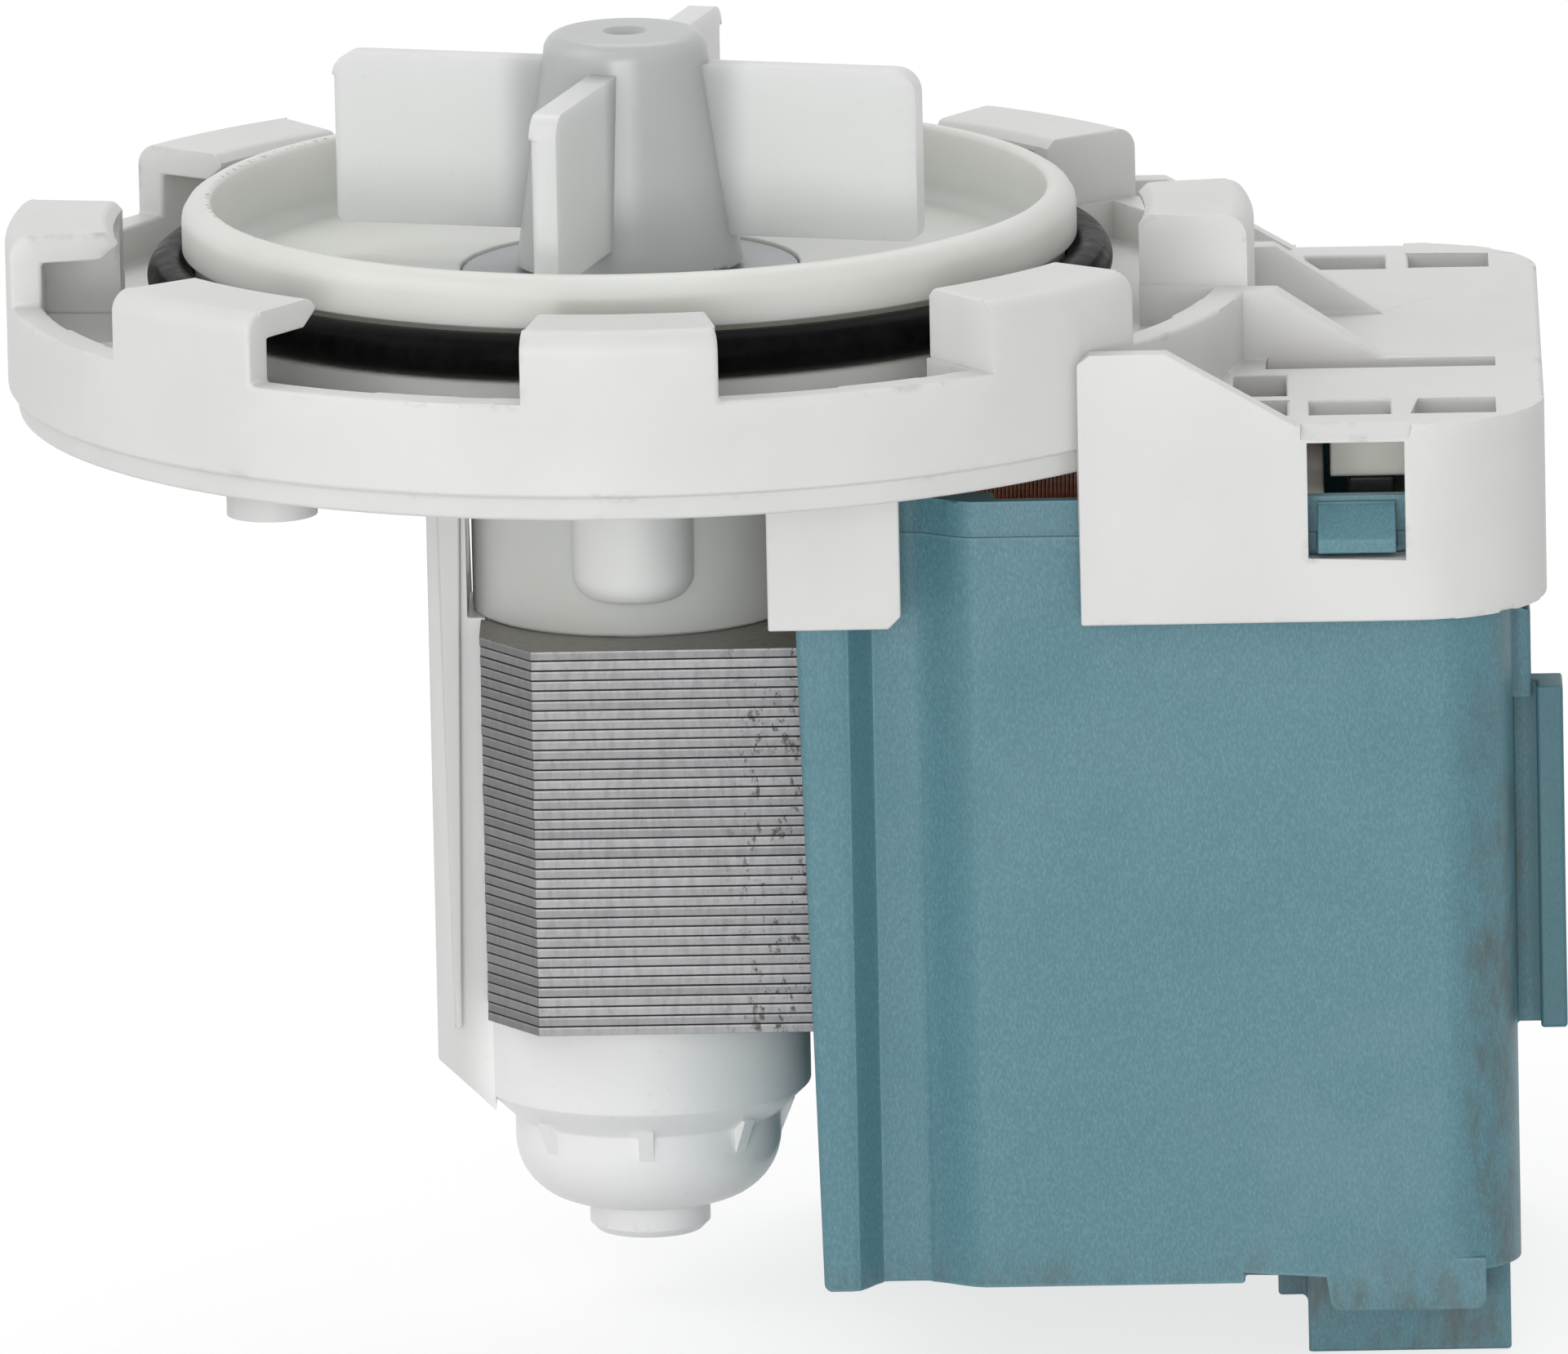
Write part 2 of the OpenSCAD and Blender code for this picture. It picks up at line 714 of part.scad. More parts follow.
// Grey carrier that holds the lip seal and the front bush
module seal_carrier() {
  step_r = bush_out_r + fit;
  lip_out_r = step_r + 0.8;
  color(seal_grey)
    difference() {
      union() {
        translate([0, 0, carrier_z - carrier_t])
          cylinder(r = carrier_r, h = carrier_t);
        translate([0, 0, front_bush_z])
          cylinder(r = carrier_body_r, h = carrier_len - carrier_t + eps);
      }
      translate([0, 0, front_bush_z - 1])
        cylinder(r = step_r, h = deep);
      translate([0, 0, lip_seal_z])
        cylinder(r = lip_out_r, h = deep);
      translate([0, 0, carrier_z - 0.8])
        cylinder(r1 = lip_out_r, r2 = lip_out_r + 1.2, h = 0.8 + eps);
    }
}

// Rubber lip seal above the front bush
module lip_seal() {
  seal_out_r = bush_out_r + 0.8;
  color(black)
    rotate_extrude()
      polygon([
        [bush_r + 0.9, lip_seal_z], [seal_out_r, lip_seal_z], [seal_out_r, lip_seal_z + lip_seal_h],
        [bush_r + 1.3, lip_seal_z + lip_seal_h], [bush_r, lip_seal_z + lip_mid],
        [bush_r, lip_seal_z + lip_mid - lip_edge]
      ]);
}

// Sintered bush that carries the front of the shaft
module front_bush() {
  color(bronze)
    tube(bush_r, bush_out_r, front_bush_z, front_bush_len);
}

// Sintered bush that carries the rear of the shaft
module rear_bush() {
  color(bronze)
    tube(bush_r, bush_out_r, rear_bush_bot, rear_bush_len);
}

// Rubber cup that cushions the rear bush in the can's end
module rear_cushion() {
  color(black)
    difference() {
      translate([0, 0, pocket_bot])
        cylinder(r = cushion_r, h = rear_bush_len + cushion_base);
      translate([0, 0, rear_bush_bot])
        cylinder(r = bush_out_r + fit, h = deep);
    }
}

// Outline of the can in radius and height, closed at the axis
module can_outline() {
  cavity_r0 = can_r - can_wall;
  dome_flat = dome_r - dome_round;
  nub_low_r = nub_r - 0.2;
  nub_cut = 0.5;
  difference() {
    union() {
      polygon([
        [0, core_top], [can_r, core_top], [can_r, core_bot - air], [collar_r, core_bot - air],
        [collar_r, can_low], [dome_r, dome_top], [dome_r, dome_bot + dome_round],
        [dome_flat, dome_bot + dome_round], [dome_flat, dome_bot], [nub_r, dome_bot],
        [nub_low_r, dome_bot - 0.5], [nub_low_r, dome_bot - nub_len + nub_cut],
        [nub_low_r - nub_cut, dome_bot - nub_len], [0, dome_bot - nub_len]
      ]);
      translate([0, core_top - eps])
        square([spout_r, spout_len + eps]);
      translate([dome_flat, dome_bot + dome_round])
        intersection() {
          circle(r = dome_round);
          translate([-eps, -dome_round])
            square([dome_round, dome_round + eps]);
        }
    }
    translate([0, core_top - 0.5])
      square([spout_r - can_wall, deep]);
    translate([0, can_floor])
      square([cavity_r0, core_top - 0.5 - can_floor + eps]);
    translate([0, pocket_bot])
      square([cushion_r + fit, can_floor - pocket_bot + eps]);
  }
}

// Milky can around the rotor, with its domed end and the post that reaches up to the bracket
module rotor_can() {
  post_in = cup_r + air;
  post_out = post_in + post_t - 0.5;
  rib_in = post_in + 0.2;
  rib_y = post_w / 2;
  color(milky) {
    rotate_extrude()
      can_outline();
    difference() {
      union() {
        side_plate(
          [
            [-post_out, channel_under], [-post_in, channel_under], [-post_in, core_top],
            [-can_r + can_wall / 2, core_top], [-can_r + can_wall / 2, can_low - 1],
            [-post_out + post_t, can_low - can_chamfer / 2 + 0.6], [-post_out, can_low + can_chamfer + 0.6]
          ],
          -post_w / 2, post_w / 2
        );
        side_plate(
          [
            [-post_out + 0.6, channel_under], [-rib_in, channel_under],
            [-rib_in - 0.7, core_bot - 1.6], [-rib_in - 1.1, core_bot - 1.6]
          ],
          -rib_y - 0.8, -rib_y + eps
        );
      }
      translate([0, 0, can_low - can_chamfer])
        cylinder(r = can_r - can_wall / 2, h = core_top - can_low + can_chamfer);
    }
    for (i = [0 : 7])
      if (i != 4)
        rotate([0, 0, 45 * i])
          side_plate(
            [
              [dome_r - 0.4, dome_top + 0.6], [dome_r + 0.9, dome_top + 0.6],
              [dome_r, dome_top - 1.6], [dome_r - 0.4, dome_top - 1.6]
            ],
            -0.48, 0.48
          );
  }
}

// Plan of the back pole and its arm, drawn in by an inset at the edges that show
module pole_plan(inset) {
  tip = pole_gap / 2 + inset;
  side = pole_w / 2 - inset;
  end = pole_end - inset;
  step = bobbin_x - 0.6;
  arm_in = arm_y - arm_w / 2;
  arm_out = arm_y + arm_w / 2;
  difference() {
    polygon([
      [-end, tip], [-end, side - cut_y + inset / 2], [-end + cut_x + inset / 4, side], [step, side],
      [step + 0.4, arm_out], [yoke_x, arm_out], [yoke_x, arm_in], [step + 0.4, arm_in], [step, tip]
    ]);
    circle(r = bore_r + inset);
  }
}

// Stack of sheets for the back pole, with the lacquer lines cut where the edges show
module pole_stack() {
  difference() {
    translate([0, 0, core_bot])
      linear_extrude(core_h)
        pole_plan(0);
    for (i = [1 : sheet_count - 1])
      translate([0, 0, core_bot + i * sheet_t - lacquer_w / 2])
        linear_extrude(lacquer_w)
          difference() {
            translate([-pole_end - 1, 0])
              square([pole_end + 1 + house_x0, pole_w]);
            pole_plan(lacquer_d);
          }
  }
}

// Front pole with its arm
module front_pole_stack() {
  color(sheet_grey)
    mirror([0, 1, 0])
      pole_stack();
}

// Back pole with its arm
module back_pole_stack() {
  color(sheet_grey)
    pole_stack();
}

// Stack of sheets that joins the two arms at the far end
module yoke_stack() {
  half = arm_y + arm_w / 2;
  color(sheet_grey)
    block([yoke_x, -half, core_bot], [yoke_x + yoke_t, half, core_top]);
}

// Bobbin for the back arm: a tube with an end flange at each end
module bobbin() {
  translate([bobbin_x, arm_y, core_mid])
    rotate([90, 0, 90])
      difference() {
        union() {
          linear_extrude(bobbin_end - bobbin_x)
            square([2 * coil_hy, 2 * coil_hz], center = true);
          for (x = [0, bobbin_end - bobbin_x - flange_t])
            translate([0, 0, x])
              linear_extrude(flange_t)
                square([2 * flange_hy, 2 * flange_hz], center = true);
        }
        translate([0, 0, -1])
          linear_extrude(deep)
            square([arm_w + 2 * fit, core_h + 2 * fit], center = true);
      }
}

// Bobbin on the front arm
module front_bobbin() {
  color(ivory)
    mirror([0, 1, 0])
      bobbin();
}

// Bobbin on the back arm
module back_bobbin() {
  color(ivory)
    bobbin();
}

// Inner layers of the back winding
module winding() {
  translate([wind_x0, arm_y, core_mid])
    rotate([90, 0, 90])
      linear_extrude(wind_x1 - wind_x0)
        difference() {
          round_rect(
            coil_hy + fit + core_winding_t, coil_hz + fit + core_winding_t,
            wind_round - wire_d - layer_gap
          );
          square([2 * (coil_hy + fit), 2 * (coil_hz + fit)], center = true);
        }
}

// Inner layers of the front winding
module front_winding() {
  color(copper)
    mirror([0, 1, 0])
      winding();
}

// Inner layers of the back winding
module back_winding() {
  color(copper)
    winding();
}

// Point k of one turn: five on each round corner and one half way along each side
function turn_corner(k) = floor((k % ring_steps) / 6);
function turn_angle(k) = 90 * turn_corner(k) + 22.5 * min(k % 6, 4);
function turn_half(k) = k % 6 == 5;
function corner_y(q) = (q == 0 || q == 3 ? 1 : -1) * (wire_hy - wind_round + wire_d / 2);
function corner_z(q) = (q < 2 ? 1 : -1) * (wire_hz - wind_round + wire_d / 2);
function turn_normal(k) = [0, cos(turn_angle(k)), sin(turn_angle(k))];
function on_corner(k) =
  [0, corner_y(turn_corner(k)), corner_z(turn_corner(k))]
  + (wind_round - wire_d / 2) * turn_normal(k);
function turn_place(k) =
  turn_half(k) ? (on_corner(k - 1) + on_corner((k + 1) % ring_steps)) / 2 : on_corner(k);

// The wire starts half way along the lower side, winds to the far flange and ends there
first_step = 17;
last_step = turns * ring_steps;
function wire_x(i) = layer_x0 + wire_pitch * i / ring_steps;
function wire_place(i) = turn_place((i + first_step) % ring_steps) + [wire_x(i), 0, 0];
function wire_normal(i) = turn_normal((i + first_step) % ring_steps);

// Straight lead and quarter bend at each end of the wire, square to the flanges
lead_run = [0, 1];
bend_run = [30, 60];
side_run = [0, 1, 0];
start_point = wire_place(0);
end_point = wire_place(last_step);
start_lead = [
  for (s = lead_run)
    start_point - lead_bend * ([1, 0, 0] + side_run) - [wire_d * (1 - s), 0, 0]
];
start_bend = [
  for (a = bend_run)
    start_point - lead_bend * ([1 - sin(a), 0, 0] + cos(a) * side_run)
];
end_bend = [
  for (a = bend_run)
    end_point + lead_bend * ([1 - cos(a), 0, 0] + sin(a) * side_run)
];
end_lead = [
  for (s = lead_run)
    end_point + lead_bend * ([1, 0, 0] + side_run) + [wire_d * s, 0, 0]
];
loop_points = [for (i = [0 : last_step]) wire_place(i)];
loop_normals = [for (i = [0 : last_step]) wire_normal(i)];
down = [0, 0, -1];
wire_path = concat(start_lead, start_bend, loop_points, end_bend, end_lead);
wire_normals = concat(
  [for (p = start_lead) down], [for (p = start_bend) down], loop_normals,
  [for (p = end_bend) down], [for (p = end_lead) down]
);
path_len = len(wire_path);
function unit(v) = v / norm(v);
function wire_tangent(i) =
  unit(wire_path[min(i + 1, path_len - 1)] - wire_path[max(i - 1, 0)]);
function wire_ring(i) =
  let (out = wire_normals[i], across = unit(cross(wire_tangent(i), out)))
  [for (j = [0 : wire_sides - 1])
    wire_path[i] + wire_d / 2 * (cos(360 * j / wire_sides) * out + sin(360 * j / wire_sides) * across)];
turn_steps = [for (i = [0 : last_step - ring_steps]) norm(loop_points[i + ring_steps] - loop_points[i])];
wire_gap = min(turn_steps) - wire_d;
echo(least_gap_of_the_outer_layer_to_itself = wire_gap);

// Outer layer of the back winding: one unbroken wire
module outer_layer() {
  n = wire_sides;
  points = [for (i = [0 : path_len - 1]) each wire_ring(i)];
  sides = [
    for (i = [0 : path_len - 2])
      for (j = [0 : n - 1])
        let (a = i * n + j, b = i * n + (j + 1) % n)
        each [[a, a + n, b], [b, a + n, b + n]]
  ];
  last = (path_len - 1) * n;
  caps = [
    for (j = [1 : n - 2])
      each [[0, j, j + 1], [last, last + j + 1, last + j]]
  ];
  translate([0, arm_y, core_mid])
    polyhedron(points = points, faces = concat(sides, caps));
}

// Outer layer of the front winding
module front_outer_layer() {
  color(copper)
    mirror([0, 1, 0])
      outer_layer();
}

// Outer layer of the back winding
module back_outer_layer() {
  color(copper)
    outer_layer();
}

// White tray above the yoke that carries the protector and spaces the cover
module terminal_carrier() {
  half = carrier_plate_w / 2;
  color(ivory) {
    block(
      [carrier_plate_x0, -half, carrier_plate_z],
      [carrier_plate_x1, half, carrier_plate_z + carrier_plate_t]
    );
    both_sides() {
      block(
        [carrier_plate_x0, -half, carrier_plate_z],
        [carrier_plate_x1, -half + carrier_leg_t, cover_top - cover_wall - air]
      );
      block(
        [yoke_x + 1, -carrier_leg_y - carrier_leg_t, core_top],
        [yoke_x + yoke_t - 1, -carrier_leg_y, carrier_plate_z + eps]
      );
    }
  }
}

// Black thermal protector under the tray
module thermal_protector() {
  x0 = window_x - protector_w / 2 + 1;
  color(black)
    block(
      [x0, protector_y0, carrier_plate_z - protector_h],
      [x0 + protector_w, protector_y1, carrier_plate_z]
    );
}

// Depth of the front relief at a distance from the near end: a lobe, a valley and a ramp to the flat
function ramp(t) = let (s = min(max(t, 0), 1)) s * s * (3 - 2 * s);
function relief(d) = 0.5 - (valley_d + 0.5) * ramp((d - 3.2) / 2) + valley_d * ramp((d - 7.5) / 4.2);
relief_len = 12;
relief_steps = 24;

// Plan of the housing: rounded at the far end, with the relief on the front and back near the core
module house_plan(inset) {
  half = house_w / 2 - inset;
  near = [
    for (i = [0 : relief_steps])
      let (d = relief_len * i / relief_steps)
      [house_x0 + d, half + relief(d)]
  ];
  far = [for (i = [relief_steps : -1 : 0]) [near[i][0], -near[i][1]]];
  polygon(concat(near, far));
  far_round_plan(house_x0 + relief_len - eps, house_x1, house_w, house_corner, inset);
}

// Inside of the housing, clear of the valley and with far corners that follow the outside
module house_inside() {
  half = house_w / 2 - valley_d - house_wall;
  x0 = house_x0 + near_slope + house_wall - 0.4;
  step = house_x0 + relief_len + 1;
  translate([x0, -half])
    square([step + 1 - x0, 2 * half]);
  far_round_plan(step, house_x1, house_w, house_corner, house_wall);
}

// Outside of the housing: drawn in at the top band, stepped at the floor and sloped at the near end
module house_body() {
  difference() {
    union() {
      translate([0, 0, house_bot])
        linear_extrude(house_h - band_h)
          house_plan(0);
      translate([0, 0, house_top - band_h - eps])
        linear_extrude(band_h + eps)
          house_plan(band_in);
    }
    block([floor_step_x, -house_w, house_bot - 1], [house_x1 + 1, house_w, house_bot + floor_step]);
    side_plate(
      [
        [house_x0 - 1, house_top + 1], [house_x0, house_top], [house_x0 + near_slope, house_bot],
        [house_x0 + near_slope, house_bot - 1], [house_x0 - 1, house_bot - 1]
      ],
      -house_w, house_w
    );
  }
}

// Teal housing around both coils, with its latches, connector shroud, tongue and side rail
module coil_housing() {
  half = house_w / 2;
  shroud_in = shroud_x + shroud_wall;
  tongue_bot = house_bot - tongue_drop;
  tongue_far = tongue_x + tongue_w;
  rail_y = -half + house_corner;
  color(teal)
    difference() {
      union() {
        house_body();
        both_sides()
          translate([window_x - latch_w / 2, 0, 0])
            rotate([90, 0, 90])
              linear_extrude(latch_w)
                polygon([
                  [-half + 1, latch_top], [-half - 0.4, latch_top],
                  [-half - latch_out, latch_top - latch_h + 0.9],
                  [-half - latch_out, latch_top - latch_h], [-half + 1, latch_top - latch_h]
                ]);
        block(
          [shroud_x, shroud_y, shroud_z],
          [shroud_x + shroud_w, shroud_y + shroud_d, house_bot + house_wall]
        );
        block(
          [shroud_x - key_w, shroud_y + shroud_d / 2, house_bot - key_drop],
          [shroud_x + eps, shroud_y + shroud_d, house_bot + house_wall]
        );
        side_plate(
          [
            [tongue_x, house_bot + house_wall], [tongue_x + tongue_lean, tongue_bot + tongue_cut],
            [tongue_x + tongue_lean + tongue_cut, tongue_bot], [tongue_far - tongue_cut, tongue_bot],
            [tongue_far, tongue_bot + tongue_cut], [tongue_far, house_bot + house_wall]
          ],
          -half, -half + house_wall
        );
        block(
          [house_x1 - house_wall, rail_y + 2, rail_z],
          [house_x1 + rail_out - 1.6, rail_y + 4, rail_top]
        );
        block(
          [house_x1 + rail_out - 1.7, rail_y, rail_z],
          [house_x1 + rail_out, rail_y + 4, rail_top]
        );
        block(
          [house_x1 - house_wall, rail_y + 1.2, rail_top - 1],
          [house_x1 + rail_rib_out, rail_y + 4, rail_top + rail_rib]
        );
      }
      translate([0, 0, house_bot + house_wall])
        linear_extrude(deep)
          house_inside();
      block(
        [house_x0 - 1, -slot_w / 2, core_bot - air],
        [house_x0 + near_slope + house_wall + 1, slot_w / 2, house_top + 1]
      );
      block(
        [shroud_in, shroud_y + shroud_wall, shroud_z - 1],
        [shroud_x + shroud_w - shroud_wall, shroud_y + shroud_d - shroud_wall, house_bot]
      );
      for (side = [-1, 1])
        translate([tab_mid_x + side * tab_pitch / 2, tab_mid_y, 0])
          block(
            [-tab_t / 2 - fit, -tab_w / 2 - fit, house_bot - 1],
            [tab_t / 2 + fit, tab_w / 2 + fit, house_bot + house_wall + 1]
          );
    }
}

// Two flat terminal tabs in the connector shroud
module terminal_tabs() {
  color(brass)
    for (side = [-1, 1])
      translate([tab_mid_x + side * tab_pitch / 2, tab_mid_y, 0])
        side_tab();
}

// One tab with its tapered tip pointing down
module side_tab() {
  rotate([90, 0, 90])
    translate([0, 0, -tab_t / 2])
      linear_extrude(tab_t)
        polygon([
          [-tab_w / 2, tab_top], [-tab_w / 2, tab_bot + 1], [-tab_w / 2 + 1, tab_bot],
          [tab_w / 2 - 1, tab_bot], [tab_w / 2, tab_bot + 1], [tab_w / 2, tab_top]
        ]);
}

// Two leads that rise from the tabs past the yoke, one to the protector and one to the tray
module lead_wires() {
  foot = tab_top - 2.5 * lead_r;
  color("firebrick")
    for (side = [-1, 1])
      translate([tab_mid_x + side * (tab_pitch / 2 - tab_t / 2 - fit - lead_r), 0, 0]) {
        translate([0, lead_y, foot])
          cylinder(r = lead_r, h = carrier_plate_z - (side < 0 ? protector_h : 0) - fit - foot);
        translate([0, lead_y, foot])
          sphere(r = lead_r);
        translate([0, lead_y, foot])
          rotate([-90, 0, 0])
            cylinder(r = lead_r, h = tab_mid_y + tab_w / 2 - lead_y);
      }
}

// Steel shaft
module rotor_shaft() {
  color(steel)
    translate([0, 0, shaft_bot])
      cylinder(r = shaft_r, h = shaft_top - shaft_bot);
}

// Ring magnet
module rotor_magnet() {
  color(ferrite)
    tube(magnet_hub_r + fit, magnet_r, magnet_bot, magnet_len);
}

// Plastic core that holds the magnet on the shaft, with a disc at each end and a nose up to the front bush
module magnet_hub() {
  color(milky)
    difference() {
      union() {
        translate([0, 0, hub_disc_bot])
          cylinder(r = magnet_hub_r, h = hub_disc_top - hub_disc_bot);
        translate([0, 0, hub_disc_bot])
          cylinder(r = shaft_r + 1.8, h = nose_top - hub_disc_bot);
        for (z = [hub_disc_bot, magnet_top])
          translate([0, 0, z])
            cylinder(r = end_disc_r, h = end_disc_t);
      }
      translate([0, 0, hub_disc_bot - 1])
        cylinder(r = shaft_r + fit, h = deep);
    }
}

// Driver sleeve on the shaft with one coupling dog
module driver_dog() {
  z0 = cavity_z0 + air;
  color(milky)
    difference() {
      union() {
        translate([0, 0, z0])
          cylinder(r = sleeve_r, h = dog_h);
        sector(sleeve_r - 0.4, dog_r, -dog_deg / 2, dog_deg / 2, z0, dog_h);
      }
      translate([0, 0, z0 - 1])
        cylinder(r = shaft_r + fit, h = deep);
    }
}

// Thrust washers at the two ends of the magnet's core
module thrust_washers() {
  color(steel) {
    tube(shaft_r + fit, bush_out_r, nose_top, washer_t);
    tube(shaft_r + fit, bush_out_r, hub_disc_bot - washer_t, washer_t);
  }
}

// One blade with a round outer top corner, along +X
module blade() {
  corner = 1.6;
  rotate([90, 0, 0])
    translate([0, 0, -blade_t / 2])
      linear_extrude(blade_t) {
        translate([hub_top_r - 1, blade_z])
          square([blade_r - hub_top_r + 1, blade_h - corner]);
        translate([hub_top_r - 1, blade_z])
          square([blade_r - corner - hub_top_r + 1, blade_h]);
        translate([blade_r - corner, blade_top - corner])
          circle(r = corner);
      }
}

// Impeller: tapered hub with radial blades, and the coupling tooth inside the hub
module impeller() {
  hub_round = 1.2;
  color(milky) {
    difference() {
      union() {
        rotate_extrude() {
          polygon([
            [0, hub_z], [hub_base_r, hub_z], [hub_top_r, hub_top - hub_round],
            [hub_top_r - hub_round, hub_top - hub_round], [hub_top_r - hub_round, hub_top], [0, hub_top]
          ]);
          translate([hub_top_r - hub_round, hub_top - hub_round])
            intersection() {
              circle(r = hub_round);
              square(hub_round);
            }
        }
        for (i = [0 : blade_count - 1])
          rotate([0, 0, blade_turn + 360 * i / blade_count])
            blade();
      }
      translate([0, 0, hub_z - 1])
        cylinder(r = base_ring_r + fit, h = 1 + base_ring_t);
      translate([0, 0, hub_z])
        cylinder(r = cavity_r, h = cavity_top - hub_z);
      translate([0, 0, hub_z])
        cylinder(r = bush_r, h = shaft_top + air - hub_z);
      translate([0, 0, hub_top - 0.5])
        cylinder(r1 = 0.9, r2 = 1.5, h = 0.5 + eps);
    }
    sector(
      tooth_in_r, cavity_r + 0.3, 180 - dog_deg / 2, 180 + dog_deg / 2,
      cavity_z0 + air, cavity_top - cavity_z0 - air + eps
    );
  }
}

// Ring that closes the hub below the coupling
module hub_base() {
  color(milky)
    tube(shaft_r + air, base_ring_r, hub_z, base_ring_t);
}

// Rubber pads on both flanks of the impeller's tooth
module clutch_buffer() {
  mid_r = (tooth_in_r + cavity_r) / 2;
  pad_l = cavity_r - tooth_in_r - 2 * air;
  color(black)
    for (side = [-1, 1])
      rotate([0, 0, 180 + side * dog_deg / 2])
        translate([mid_r - pad_l / 2, side > 0 ? fit : -buffer_t - fit, cavity_z0 + 2 * air])
          cube([pad_l, buffer_t, dog_h - 2 * air]);
}

mounting_bracket();
chamber_cover();
o_ring();
seal_carrier();
lip_seal();
front_bush();
rotor_can();
rear_cushion();
rear_bush();
front_pole_stack();
back_pole_stack();
yoke_stack();
front_bobbin();
back_bobbin();
front_winding();
back_winding();
front_outer_layer();
back_outer_layer();
terminal_carrier();
thermal_protector();
coil_housing();
terminal_tabs();
lead_wires();
rotor_shaft();
rotor_magnet();
magnet_hub();
driver_dog();
thrust_washers();
impeller();
hub_base();
clutch_buffer();
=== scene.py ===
# %% [markdown]
# # A washer drain pump, dressed for its portrait
# The pump was drawn as solids first. This lesson loads those solids as a fixed frame, softens their
# edges as a mould does, winds the coils with real wire, and gives each plastic and metal its own finish.

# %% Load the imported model
import math

import bmesh
import bpy
import numpy as np
from mathutils import Matrix, Vector


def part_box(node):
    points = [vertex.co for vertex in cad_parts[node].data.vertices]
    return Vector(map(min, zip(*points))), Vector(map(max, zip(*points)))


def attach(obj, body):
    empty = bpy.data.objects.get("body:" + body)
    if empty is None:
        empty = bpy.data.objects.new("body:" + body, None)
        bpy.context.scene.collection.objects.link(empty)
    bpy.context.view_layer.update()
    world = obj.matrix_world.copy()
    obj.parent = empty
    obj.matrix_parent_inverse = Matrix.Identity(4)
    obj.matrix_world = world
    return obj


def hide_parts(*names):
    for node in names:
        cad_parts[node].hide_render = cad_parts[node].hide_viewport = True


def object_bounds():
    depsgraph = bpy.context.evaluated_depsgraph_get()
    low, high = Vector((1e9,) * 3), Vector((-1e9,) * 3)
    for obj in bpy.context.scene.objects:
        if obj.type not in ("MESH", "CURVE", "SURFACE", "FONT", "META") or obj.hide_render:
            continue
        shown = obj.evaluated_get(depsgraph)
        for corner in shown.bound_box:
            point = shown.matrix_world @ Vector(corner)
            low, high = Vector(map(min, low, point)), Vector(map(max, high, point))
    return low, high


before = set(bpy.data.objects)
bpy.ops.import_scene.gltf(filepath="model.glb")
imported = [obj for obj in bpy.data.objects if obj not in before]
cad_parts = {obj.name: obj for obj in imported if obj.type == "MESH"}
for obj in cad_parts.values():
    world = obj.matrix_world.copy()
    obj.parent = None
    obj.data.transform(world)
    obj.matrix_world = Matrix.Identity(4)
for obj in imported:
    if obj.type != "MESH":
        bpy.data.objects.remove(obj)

MM = 0.001
cad_low, cad_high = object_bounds()
print("CAD box in mm:", [round(x / MM, 1) for x in (*cad_low, *cad_high)])

# %% [markdown]
# ## Camera
# The photograph was taken from far away with a long lens, a little above the ring. A camera can be set
# by eye, but here its turn, tilt and roll come from fitting the outline of the solids to the picture.

# %% Long lens in front of the pump
IMAGE_W, IMAGE_H = 1920, 1658
PX_PER_MM = 18.97
CAMERA_MM = 1968.5
TURN, TILT, ROLL = math.radians(0.93), math.radians(12.3), math.radians(1.18)
AIM_MM = Vector((9.5, 0.0, -29.0))
MIDDLE_PX = (962.1, 803.7)
SENSOR_MM = 36.0


def camera_axes():
    """Right, up and forward of a level camera, then rolled: right' = c right - s up, up' = s right + c up."""
    forward = Vector((-math.sin(TURN) * math.cos(TILT), math.cos(TURN) * math.cos(TILT), -math.sin(TILT)))
    right = Vector((math.cos(TURN), math.sin(TURN), 0.0))
    up = right.cross(forward)
    c, s = math.cos(ROLL), math.sin(ROLL)
    return right * c - up * s, right * s + up * c, forward


right, up, forward = camera_axes()
lens = bpy.data.cameras.new("portrait_lens")
lens.sensor_width = SENSOR_MM
lens.lens = PX_PER_MM * CAMERA_MM / IMAGE_W * SENSOR_MM
lens.shift_x = (IMAGE_W / 2 - MIDDLE_PX[0]) / IMAGE_W
lens.shift_y = (MIDDLE_PX[1] - IMAGE_H / 2) / IMAGE_W
lens.clip_start, lens.clip_end = 0.05, 20.0
camera = bpy.data.objects.new("portrait_camera", lens)
bpy.context.scene.collection.objects.link(camera)
camera.matrix_world = Matrix.LocRotScale(
    (AIM_MM - forward * CAMERA_MM) * MM, Matrix((right, up, -forward)).transposed(), None
)
bpy.context.scene.camera = camera
print("lens of %.0f mm at %.2f m" % (lens.lens, CAMERA_MM * MM))

# %% [markdown]
# ## A small language for finishes
# A Blender material is a graph of nodes. Building it by hand in code takes many lines, so one helper
# adds a node, sets or links its inputs by name, and hands back its first output.


# %% Helpers that add nodes
def put(tree, kind, outlet=0, settings=None, **inputs):
    """Adds one shader node. An input that is a socket is linked, and any other value is set on it."""
    node = tree.nodes.new("ShaderNode" + kind)
    for key, value in (settings or {}).items():
        setattr(node, key, value)
    for key, value in inputs.items():
        socket = node.inputs[int(key[1:])] if key[1:].isdigit() else node.inputs[key.replace("_", " ")]
        if isinstance(value, bpy.types.NodeSocket):
            tree.links.new(value, socket)
        else:
            socket.default_value = value
    return node.outputs[outlet]


def calc(tree, operation, a, b=0.0):
    """One sum of the Math node."""
    return put(tree, "Math", settings={"operation": operation}, _0=a, _1=b)


def times(tree, a, b):
    """Product of two values: where both are masks, the place that both cover."""
    return calc(tree, "MULTIPLY", a, b)


